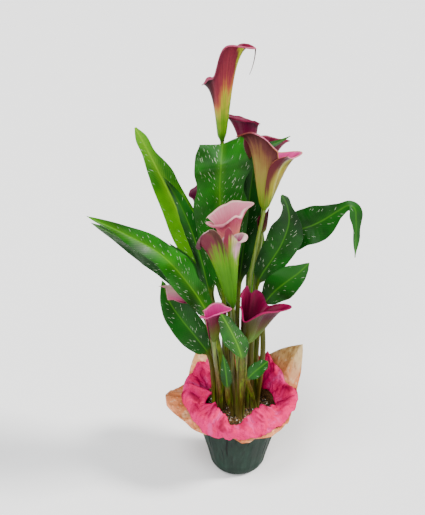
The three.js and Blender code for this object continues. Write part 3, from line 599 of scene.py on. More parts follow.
@dataclass(frozen=True)
class LeafFinish:
    """The finish of a group of leaves: veins that sweep out from the rib, flecks, and a paler underside.

    A pair says from where to where something changes: in metres from the rib, or, for off_margin, in
    shares of the way to the margin and, for fleck_rim, of a cell.
    """

    name: str
    slot: str
    deep: str
    fresh: str
    rib: str
    below: str
    flecks: float
    glow: float
    fleck: Colour = (0.84, 0.9, 0.7, 1.0)
    fleck_stretch: Point = (0.62, 0.12, 0)
    cells_a_metre: float = 1000
    fleck_rim: Span = (0.13, 0.22)
    off_rib: Span = (0.0025, 0.005)
    off_margin: Span = (0.86, 0.94)
    glow_reach: Span = (0.001, 0.011)
    midrib: Span = (0.0004, 0.0019)
    stalk: StemFinish = StemFinish()

    def fleck_share(self, paint: Paint, flow: Socket, wide: Socket, edge: Socket) -> Socket:
        """Where flecks show: the middles of cells that are stretched along the veins, more in some patches.

        Args:
            paint: the material being painted.
            flow: the place on the blade.
            wide: distance from the rib, in metres.
            edge: 0 at the rib and 1 at the margins.

        Returns:
            1 on a fleck and 0 off it.
        """
        spots, chance = paint.cells(paint.stretched(flow, self.fleck_stretch), self.cells_a_metre)
        patch = paint.grain(21, 2)
        limit = paint.span(patch, 0.36, 0.62, 1 - 0.4 * self.flecks, 1 - 1.5 * self.flecks)
        chosen = paint.sum("GREATER_THAN", chance, limit)
        shown = paint.times(paint.span(spots, *self.fleck_rim, 1, 0), chosen)
        shown = paint.times(shown, paint.span(wide, *self.off_rib))
        return paint.times(shown, paint.span(edge, *self.off_margin, 1, 0))

    def material(self) -> Material:
        """Makes the glossy leaf.

        The mesh keeps "flow": how far along the veins' fan a point is, how far across the blade it is and
        how far up the leaf, in metres. Lines of one fan value are veins. It also keeps "blade", 0 on the
        stalk and 1 on the blade, "edge", 1 at the margins, and "under", 1 below.

        Returns:
            The material.
        """
        paint = Paint(self.name)
        flow = paint.trait("flow", "Vector")
        blade, edge, under = paint.trait("blade"), paint.trait("edge"), paint.trait("under")
        fan, across, up = paint.split(flow)
        wide = paint.sum("ABSOLUTE", across)
        colour = paint.turning(paint.grain(14, 3), self.deep, self.fresh)
        glow = paint.times(paint.span(wide, *self.glow_reach, self.glow, 0), blade)
        colour = paint.over(colour, self.rib, glow)
        wave = paint.sum("SINE", paint.times(fan, 2 * math.pi / (VEIN_GAP * MM)))
        colour = paint.tinted(colour, self.rib, wave, 0.7, 1.0, 0, 0.12)
        colour = paint.tinted(colour, self.deep, edge, 0.93, 1.0, 0, 0.35)
        shown = self.fleck_share(paint, flow, wide, edge)
        colour = paint.blend(paint.times(shown, 0.92), colour, self.fleck)
        midrib = paint.times(paint.span(wide, *self.midrib, 1, 0), blade)
        midrib = paint.times(midrib, paint.span(up, 0.03, 0.24, 0.95, 0.45))
        colour = paint.over(colour, self.rib, midrib)
        colour = paint.over(colour, self.below, paint.times(under, 0.75))
        colour = paint.blend(blade, self.stalk.colour(paint), colour)
        grain = paint.noise(paint.stretched(flow, (1, 0.25, 0)), 900, 3)
        height = paint.plus(paint.times(wave, 0.5), paint.times(shown, 0.3))
        paint.relief(paint.plus(height, grain), 0.0002, 0.25)
        rough = paint.span(paint.grain(60, 3), 0.3, 0.7, 0.34, 0.46)
        return paint.finish(colour, rough, specular=0.16)


LEAF_FINISHES: dict[Look, LeafFinish] = {
    Look.SPOTTED: LeafFinish("leaf_spotted", "leaf", "1a5c12", "36921c", "7cb824", "4c8a38", 0.5, 0.24),
    Look.PLAIN: LeafFinish("leaf_plain", "leaf", "184c1c", "307c2a", "5c9c28", "40803a", 0.26, 0.08),
    Look.LIGHT: LeafFinish("leaf_fresh", "leaf_light", "3e8c08", "74bc10", "b4e43c", "78b444", 0.24, 0.25),
}


@dataclass(frozen=True)
class Leaf:
    """One leaf: where its stalk stands, the way of its rib, and how its blade opens, folds and waves.

    face holds the directions that its upper side looks in, from the blade's foot to its tip. fold is in
    degrees, wave is the height of its waves in mm, waves their number and phase where they start. A lower
    taper brings the widest place nearer the foot, and spike is the share of the width that the drawn-out
    tip takes away, and between which places. creases are cross folds: place along the blade, slant,
    height in mm and spread. bulges move one margin: place along the blade, side (-1 left, 1 right),
    distance in mm and spread.
    """

    foot: tuple[str, int]
    stalk: Point
    rib: tuple[Point, ...]
    face: tuple[Point, ...]
    half_width: float
    fold: float
    wave: float
    waves: float = 2.0
    phase: float = 0.2
    taper: float = 0.72
    spike: Point = (0, 0, 1)
    look: Look = Look.PLAIN
    creases: tuple[tuple[float, float, float, float], ...] = ()
    bulges: tuple[tuple[float, float, float, float], ...] = ()


LEAVES: dict[str, Leaf] = {
    "tall_centre": Leaf(
        ("centre", 9), (-22, 6, 240),
        ((-26, 20, 318), (-29, 30, 390), (-31, 32, 462), (-34, 24, 528), (-32, 25, 568), (-30, 38, 589),
         (-29, 46, 595), (-28, 53, 587), (-27, 54, 562), (-24, 53, 520), (-20, 52, 480)),
        ((0, -1, 0.1), (0, -1, 0.1), (0.05, -1, 0.1), (0, -1, 0.1), (0, -1, 0.1), (0, -1, 0.1), (0, -1, 0.15),
         (-0.3, -0.1, 1), (0, 1, 0.1), (0, 1, 0.1), (0, 1, 0.1)),
        45, 8, 4, 2.6, 0.1, 1.0, (0.6, 0.74, 0.85), Look.SPOTTED,
        creases=((0.62, 0.03, 4, 0.025),),
        bulges=((0.625, 1, 8, 0.03), (0.52, -1, -8, 0.05), (0.53, 1, -6, 0.05)),
    ),
    "light_left": Leaf(
        ("left", 3), (-37, 32, 235),
        ((-45, 52, 308), (-68, 69, 379), (-93, 77, 440), (-121, 78, 506), (-146, 72, 566), (-167, 60, 617)),
        ((0.2, -1, 0.3), (0.3, -1, 0.3), (0.2, -1, 0.2)),
        28, 8, 4, 2.6, 0.4, look=Look.LIGHT,
        bulges=((0.94, -1, 4.2, 0.055), (0.94, 1, 4.2, 0.055), (0.84, 1, -1.5, 0.04), (0.72, 1, 3, 0.06)),
    ),
    "dark_left": Leaf(
        ("left", 0), (-38, 20, 250),
        ((-49, 32, 322), (-66, 42, 398), (-84, 43, 456), (-103, 38, 506), (-123, 28, 546)),
        ((0.6, -0.8, 0.2), (0.7, -0.7, 0.2), (0.5, -0.8, 0.3)),
        20, 20, 3,
    ),
    "far_left": Leaf(
        ("left", 6), (-32, -16, 240),
        ((-47, -30, 315), (-81, -46, 390), (-126, -56, 452), (-178, -64, 490), (-232, -72, 523)),
        ((0.3, -0.9, 0.5), (0.4, -0.8, 0.6), (0.3, -0.8, 0.5)),
        24, 12, 4, 2.2, 0.6, look=Look.SPOTTED,
        bulges=((0.84, -1, -4, 0.1), (0.3, 1, -5, 0.05), (0.42, 1, 3, 0.06)),
    ),
    "mid_left": Leaf(
        ("left", 9), (-47, 27, 240),
        ((-54, 34, 300), (-70, 42, 347), (-93, 48, 390), (-117, 48, 420)),
        ((-0.3, 0.7, 0.6), (-0.3, 0.7, 0.7)),
        15, 14, 2,
    ),
    "under_left": Leaf(
        ("left", 4), (-42, 8, 235),
        ((-59, 14, 300), (-96, 21, 358), (-140, 22, 399), (-187, 20, 437), (-240, 16, 472)),
        ((0.2, -0.6, 0.8), (0.3, -0.6, 0.8), (0.2, -0.6, 0.7)),
        23, 12, 4, 1.8, 0.1,
    ),
    "low_left": Leaf(
        ("left", 10), (-44, -6, 185),
        ((-51, -13, 237), (-72, -20, 277), (-96, -21, 313), (-117, -15, 346), (-128, -4, 378)),
        ((0.3, -0.9, 0.4), (0.3, -0.9, 0.3), (0.4, -0.9, 0.2)),
        27, 10, 3, 1.5, taper=0.85,
    ),
    "low_centre": Leaf(
        ("centre", 11), (3, -40, 190),
        ((3, -60, 260), (-3, -68, 289), (-11, -75, 314), (-21, -82, 340), (-32, -86, 364)),
        ((-0.3, -0.9, 0.4), (-0.3, -0.9, 0.3)),
        20, 8, 2, 1.5, taper=0.95, look=Look.SPOTTED, bulges=((0.9, -1, 3, 0.07), (0.9, 1, 3, 0.07)),
    ),
    "small_centre": Leaf(
        ("centre", 10), (-18, -33, 160),
        ((-20, -41, 190), (-23, -46, 225), (-28, -46, 262)),
        ((0, -1, 0.2), (0.1, -1, 0.2)),
        9.5, 14, 1,
    ),
    "small_right": Leaf(
        ("right", 11), (20, -32, 178),
        ((14, -54, 218), (23, -58, 234), (33, -62, 247), (45, -64, 260)),
        ((-0.3, -0.8, 0.6), (-0.2, -0.8, 0.6)),
        12.5, 8, 1, taper=0.95, bulges=((0.88, -1, 3.5, 0.1), (0.88, 1, 3.5, 0.1)),
    ),
    "big_right": Leaf(
        ("right", 5), (20, 2, 240),
        ((27, 5, 361), (36, 0, 388), (50, -7, 417), (64, -16, 450), (73, -29, 494), (68, -41, 526),
         (58, -52, 549)),
        ((-0.3, -0.9, 0.3), (-0.3, -0.9, 0.4), (-0.2, -0.8, 0.6)),
        27, 12, 4, 1.8, 0.7, 0.95, (0.45, 0.6, 0.95),
        bulges=((0.95, -1, 4, 0.05), (0.95, 1, 4, 0.05), (0.62, 1, 4, 0.12)),
    ),
    "drooping_right": Leaf(
        ("right", 2), (34, 24, 270),
        ((69, 26, 408), (81, 25, 438), (97, 22, 457), (116, 20, 466), (135, 16, 479), (154, 10, 496),
         (170, 4, 508), (178, 0, 504), (181, -2, 488), (183, -5, 456), (184, -6, 421)),
        ((0, -0.8, 0.6), (0, -0.8, 0.6), (0.1, -0.8, 0.5), (0.5, -0.85, 0.2)),
        30, 10, 3.5, 2, 0.3, 0.62, (0.66, 0.36, 0.6),
        bulges=((0.7, -1, 4.2, 0.06), (0.7, 1, 4.2, 0.06), (0.88, -1, 3, 0.07), (0.88, 1, 3, 0.07)),
    ),
    "low_right": Leaf(
        ("right", 6), (41, 1, 235),
        ((40, -8, 332), (54, -19, 364), (74, -34, 393), (90, -44, 413), (105, -52, 435)),
        ((-0.1, -1, 0.4), (-0.1, -1, 0.5), (0, -0.9, 0.6)),
        25, 12, 4, 1.6, taper=0.95,
    ),
    "strip_right": Leaf(
        ("right", 3), (21, 32, 255),
        ((22, 36, 325), (29, 34, 385), (34, 33, 422), (37, 32, 458)),
        ((-0.3, -0.9, 0.2), (-0.3, -0.9, 0.3)),
        12, 10, 2, look=Look.LIGHT,
    ),
    "tall_back": Leaf(
        ("centre", 8), (-2, 46, 245),
        ((0, 56, 330), (7, 62, 402), (13, 65, 460), (18, 66, 520), (25, 65, 560), (40, 62, 583),
         (59, 64, 591), (79, 72, 599)),
        ((-0.2, -0.95, 0.2), (-0.2, -0.95, 0.2), (-0.1, -0.9, 0.4), (0, -0.7, 0.7)),
        23, 12, 3, taper=0.8, spike=(0.3, 0.6, 0.8),
    ),
    "mid_back": Leaf(
        ("centre", 3), (-13, 30, 230),
        ((-16, 56, 290), (-21, 68, 335), (-20, 76, 380), (-12, 80, 424)),
        ((0.2, -1, 0.2), (0.1, -1, 0.3)),
        19, 10, 3,
    ),
}


@dataclass(frozen=True)
class Foliage:
    """All the leaves. Lengths are in mm; a blade is finer than its solid, but keeps its place and form.

    The stalk's ring has opened to the blade by opened_by. margin_shift puts the waves of the two margins
    out of step, and halves_apart makes the flecks of the two halves unlike.
    """

    blade_thickness: float = 0.8
    edge_thickness: float = 0.45
    rib_depth: float = 1.7
    rib_width: float = 2.0
    least_half_width: float = 0.6
    opened_by: float = 0.12
    stalk_breadth: float = 0.6
    stalk_narrowing: float = 0.75
    stalk_turn: float = 0.47
    margin_waver: float = 0.05
    margin_shift: float = 0.37
    ripple: float = 1.1
    quilt: float = 0.28
    quilted_width: float = 14.0
    halves_apart: float = 400.0
    crowding: float = 0.55
    least_rows: int = 44
    mm_a_row: float = 3.0
    stalk_rows: int = 24
    columns: int = 31

    def across(self) -> Array:
        """Places across a blade, -1 to 1, that lie closer at the rib and at the margins."""
        t = np.linspace(-1, 1, self.columns)
        return t - self.crowding / (2 * math.pi) * np.sin(2 * math.pi * t)

    def facing(self, leaf: Leaf, u: Array) -> Array:
        """Where the upper side looks: the leaf's directions at even places, eased from one to the next.

        Args:
            leaf: the leaf's sizes.
            u: places along the blade.

        Returns:
            A direction at each place.
        """
        faces = np.array(leaf.face, float)
        span = u * (len(faces) - 1)
        i = np.minimum(len(faces) - 2, np.floor(span)).astype(int)
        return mix(faces[i], faces[i + 1], ease(span - i)[:, None])

    def half_width(self, leaf: Leaf, u: Array) -> Array:
        """Half a blade's width: a sine of u^taper, to the power 0.85, less the spike's share."""
        oval = np.maximum(np.sin(math.pi * np.minimum(u, 1) ** leaf.taper), 0) ** 0.85
        share, start, end = leaf.spike
        return leaf.half_width * oval * (1 - share * ease((u - start) / (end - start)))

    def vein_fan(self, u_mm: Array, x_mm: Array) -> Array:
        """The value that stays the same along a side vein: distance up the rib less 1.6x + 0.015x^2."""
        return u_mm - 1.6 * x_mm - 0.015 * x_mm**2

    def lift(self, leaf: Leaf, u: Array, v: Array, half: Array, fan: Array, seed: int) -> Array:
        """How far the blade's middle layer rises over its rib.

        The fold raises both halves as a V with a soft bottom. Waves grow with v^2 and ripples with v^6,
        so that these stay near the margin. The quilting is a sine of the veins' fan, on wide stretches
        alone. Each crease is a bump on a line that slants across the blade.

        Args:
            leaf: the leaf's sizes.
            u: places along the blade.
            v: places across it, -1 to 1.
            half: half the width at each place.
            fan: the veins' fan there.
            seed: picks the ripples.

        Returns:
            The rise in mm.
        """
        swell = v**2 * np.sin(math.pi * np.minimum(1, 1.05 * u))
        cycle = leaf.waves * u + leaf.phase + np.where(v > 0, 0.0, self.margin_shift)
        valley = half * (np.sqrt(v**2 + 0.004) - 0.063) * math.sin(math.radians(leaf.fold))
        rise = valley + leaf.wave * swell * np.sin(2 * math.pi * cycle)
        ripple = lattice_noise(u * 26 + 7, np.sign(v) * 5 + 0.5, seed)
        rise = rise + self.ripple * ripple * v**6 * np.sin(math.pi * u) ** 0.5
        quilt = np.sin(2 * math.pi * fan / VEIN_GAP) * np.abs(v) ** 0.5 * (1 - v**4)
        rise = rise + self.quilt * quilt * ease(half / self.quilted_width - 0.4)
        for spot, slant, height, spread in leaf.creases:
            rise = rise + height * bump(u - slant * v, spot, spread)
        return rise

    def blade_skin(self, leaf: Leaf, seed: int) -> Skin:
        """The stalk and blade as one closed sheet.

        At each place along the rib the section opens from the stalk's circle to the blade: across it a
        point lies v times the half width out, raised by lift, and the underside has a rib of its own.

        Args:
            leaf: the leaf's sizes.
            seed: picks how its margins waver and ripple.

        Returns:
            The surface with its traits.
        """
        route = Route(foot_on(*leaf.foot), (leaf.stalk, *leaf.rib))
        lead_end, start = route.marks[1], route.marks[3]
        span = route.length - start
        stalk = np.concatenate([[0.0], np.linspace(lead_end, start, self.stalk_rows)[:-1]])
        u_blade = np.linspace(0, 1, self.least_rows + int(span / self.mm_a_row))
        d = np.concatenate([stalk, start + span * u_blade])
        u = np.concatenate([np.zeros(len(stalk)), u_blade])
        heading = route.heading(d)
        face = self.facing(leaf, u)
        face = unit(face - (face * heading).sum(1, keepdims=True) * heading)[:, None]
        side = np.cross(heading, face[:, 0])[:, None]
        middle = route.at(d)[:, None]
        d, u, v = d[:, None], u[:, None], self.across()[None, :]
        climbed = np.maximum(0, d - lead_end) / start
        opened = ease(u / self.opened_by)
        round_ = mix(STALK_FOOT, STALK_NECK, climbed) * (1 - self.stalk_narrowing * u)
        half = np.maximum(np.maximum(round_, self.half_width(leaf, u)), self.least_half_width)
        waver = lattice_noise(u * 9 + 20, np.sign(v) * 3 + 0.5, seed)
        half = half * (1 + self.margin_waver * opened * waver)
        for spot, hand, reach, spread in leaf.bulges:
            half = half + reach * bump(u, spot, spread) * ease(v * hand * 3)
        x_mm = half * np.abs(v)
        fan = self.vein_fan(u * span, x_mm)
        lift = self.lift(leaf, u, v, half, fan, seed + 1)
        flat = half * v * math.cos(math.radians(leaf.fold))
        thick = mix(self.blade_thickness, self.edge_thickness, v**2) / 2
        rib = self.rib_depth * (1 - u) * bump(x_mm, 0, self.rib_width)
        turn = math.pi * (0.5 - self.stalk_turn * v)
        broad = 1 + self.stalk_breadth * ease(2 * climbed) * ease(6 * (1 - climbed) + 0.4)
        x = mix(broad * round_ * np.cos(turn), flat, opened)[..., None]
        top = mix(round_ * np.sin(turn), lift + thick, opened)[..., None]
        low = mix(-round_ * np.sin(turn), lift - thick - rib, opened)[..., None]
        upper = middle + x * side + top * face
        lower = middle + x * side + low * face
        apart = np.where(v > 0, self.halves_apart, 0)
        flow = np.stack([fan + apart, half * v, u * span + 0 * v], -1) * MM
        traits = {"flow": flow, "blade": opened + 0 * v, "edge": np.abs(v) * ease(half / 5) + 0 * u}
        return Skin.sheet(upper, lower, False, traits)

    def build(self) -> None:
        """Makes every leaf."""
        materials = {look: made.material() for look, made in LEAF_FINISHES.items()}
        for number, (name, leaf) in enumerate(LEAVES.items()):
            skin = self.blade_skin(leaf, 11 * number + 3)
            slot = LEAF_FINISHES[leaf.look].slot
            skin.piece(f"blade_{name}", materials[leaf.look], slot, f"leaf_{name}")


# Patches of stain and of painted shade on a spathe share this form.
StainAndShade = tuple[float, float, float, float, float, str]


@dataclass(frozen=True)
class Petal:
    """The finish of one spathe. Stops run from its foot (0) to its rim (1), and angles are from its tip.

    Entries of stains_and_shade are patches of stain colour and of painted shade. Each has its place between
    the margins (-1 to 1), its width there, the rise it starts and ends at, its strength and its colour. The
    keel is a line of colour down the back: keel_at holds its angle at
    the foot and at the rim, and keel_width its breadth, in degrees.
    """

    slot: str
    outside: Stops
    inside: Stops
    rim: str
    stains_and_shade: tuple[StainAndShade, ...] = ()
    inner_stains_and_shade: tuple[StainAndShade, ...] = ()
    keel: str = ""
    keel_at: Span = (0.0, 0.0)
    keel_width: float = 11.0
    rim_width: float = 0.03
    veins: str = "5a1838"

    def material(self, name: str) -> Material:
        """Makes a satin petal: colour in long streaks from foot to rim, a keel, patches of stain and of
        painted shade, and a pale rim.

        The mesh keeps "petal": the angle in turns, the place between the margins (-1 to 1) and the rise.
        It also keeps "under", 1 on the inner side.

        Args:
            name: the flower.

        Returns:
            The material.
        """
        paint = Paint(f"spathe_{name}")
        place = paint.trait("petal", "Vector")
        angle, turn, rise = paint.split(place)
        streak = paint.noise(paint.stretched(place, (42, 0, 1.6)), 1, 4, 0.65)
        cloud = paint.span(paint.grain(30, 3), 0.3, 0.7, -0.05, 0.05)
        blur = paint.plus(paint.span(streak, 0.25, 0.75, -0.09, 0.09), cloud)
        level = paint.plus(rise, blur)
        side = paint.plus(turn, paint.span(streak, 0.25, 0.75, -0.05, 0.05))

        def stained_and_shaded(colour: Socket, stains_and_shade: tuple[StainAndShade, ...]) -> Socket:
            """Lays each patch of stain and of painted shade over a colour, with soft borders to all sides.

            Args:
                colour: the colour.
                stains_and_shade: the patches of stain and of painted shade.

            Returns:
                The colour with its patches of stain and of painted shade.
            """
            # Patches of stain and of painted shade are laid on alike.
            for where, width, low, high, strength, code in stains_and_shade:
                share = paint.span(paint.apart(side, where), 0.35 * width, width, strength, 0)
                share = paint.times(share, paint.span(level, low, low + 0.2))
                share = paint.times(share, paint.span(level, high, high + 0.15, 1, 0))
                colour = paint.over(colour, code, share)
            return colour

        fine = paint.noise(paint.stretched(place, (170, 0, 2.5)), 1, 2)
        veins = paint.times(paint.span(fine, 0.5, 0.7, 0, 0.5), paint.span(rise, 0.2, 0.6))
        edge = paint.span(rise, 1 - self.rim_width, 1.0, 0, 0.8)
        edge = paint.times(edge, paint.span(rise, 1.005, 1.035, 1, 0.15))
        margin = paint.span(paint.sum("ABSOLUTE", turn), 0.982, 0.999, 0, 0.7)
        margin = paint.times(margin, paint.span(rise, 0.4, 0.7))
        pale = paint.sum("MAXIMUM", edge, margin)

        def face(stops: Stops, stains_and_shade: tuple[StainAndShade, ...]) -> Socket:
            """One side of the petal: its ramp, veins and rim, then its patches of stain and of painted shade.
            """
            colour = paint.over(paint.ramp(level, stops), self.veins, veins)
            return stained_and_shaded(paint.over(colour, self.rim, pale), stains_and_shade)

        colour = face(self.outside, self.stains_and_shade)
        if self.keel:
            foot, top = self.keel_at
            line = paint.plus(paint.times(rise, (top - foot) / 360), foot / 360)
            far = paint.plus(paint.apart(angle, line), paint.span(streak, 0.25, 0.75, -0.014, 0.014))
            width = self.keel_width / 360
            share = paint.span(far, 0.2 * width, width, 0.9, 0)
            share = paint.times(share, paint.span(rise, 0.9, 1.0, 1, 0.25))
            colour = paint.over(colour, self.keel, share)
        colour = paint.blend(paint.trait("under"), colour, face(self.inside, self.inner_stains_and_shade))
        paint.relief(paint.plus(streak, paint.times(fine, 0.5)), 0.0012, 0.4)
        rough = paint.span(paint.grain(80, 2), 0.3, 0.7, 0.36, 0.5)
        return paint.finish(colour, rough, specular=0.1)


@dataclass(frozen=True)
class Bloom:
    """One flower. Its rim has a radius, height and lean at 0, 60, 120, 180, 240 and 300 degrees from its tip.

    axis is the way it opens and back the way of its tip. wrap is how far round each margin reaches, at
    the foot and at the rim, middle the angle half way between them, and lap which margin lies outside.
    belly is how early the tube widens, bend how far below the rim it starts to lean out, and tip what
    the tip adds to radius and height. roll is the rolled edge's radius and how far round it goes.
    accents refine the rim: degrees, spread, and what is added there to radius, height, lean and the two
    of roll.
    """

    foot: tuple[str, int]
    stem: tuple[Point, ...]
    axis: Point
    back: Point
    wrap: Span
    lap: int
    belly: float
    radius: tuple[float, ...]
    height: tuple[float, ...]
    lean: tuple[float, ...]
    tip: Span
    spadix: float
    petal: Petal
    middle: float = 0.0
    bend: float = 0.75
    roll: Span = (1.6, 120.0)
    ruffle: float = 1.0
    accents: tuple[tuple[float, float, float, float, float, float, float], ...] = ()


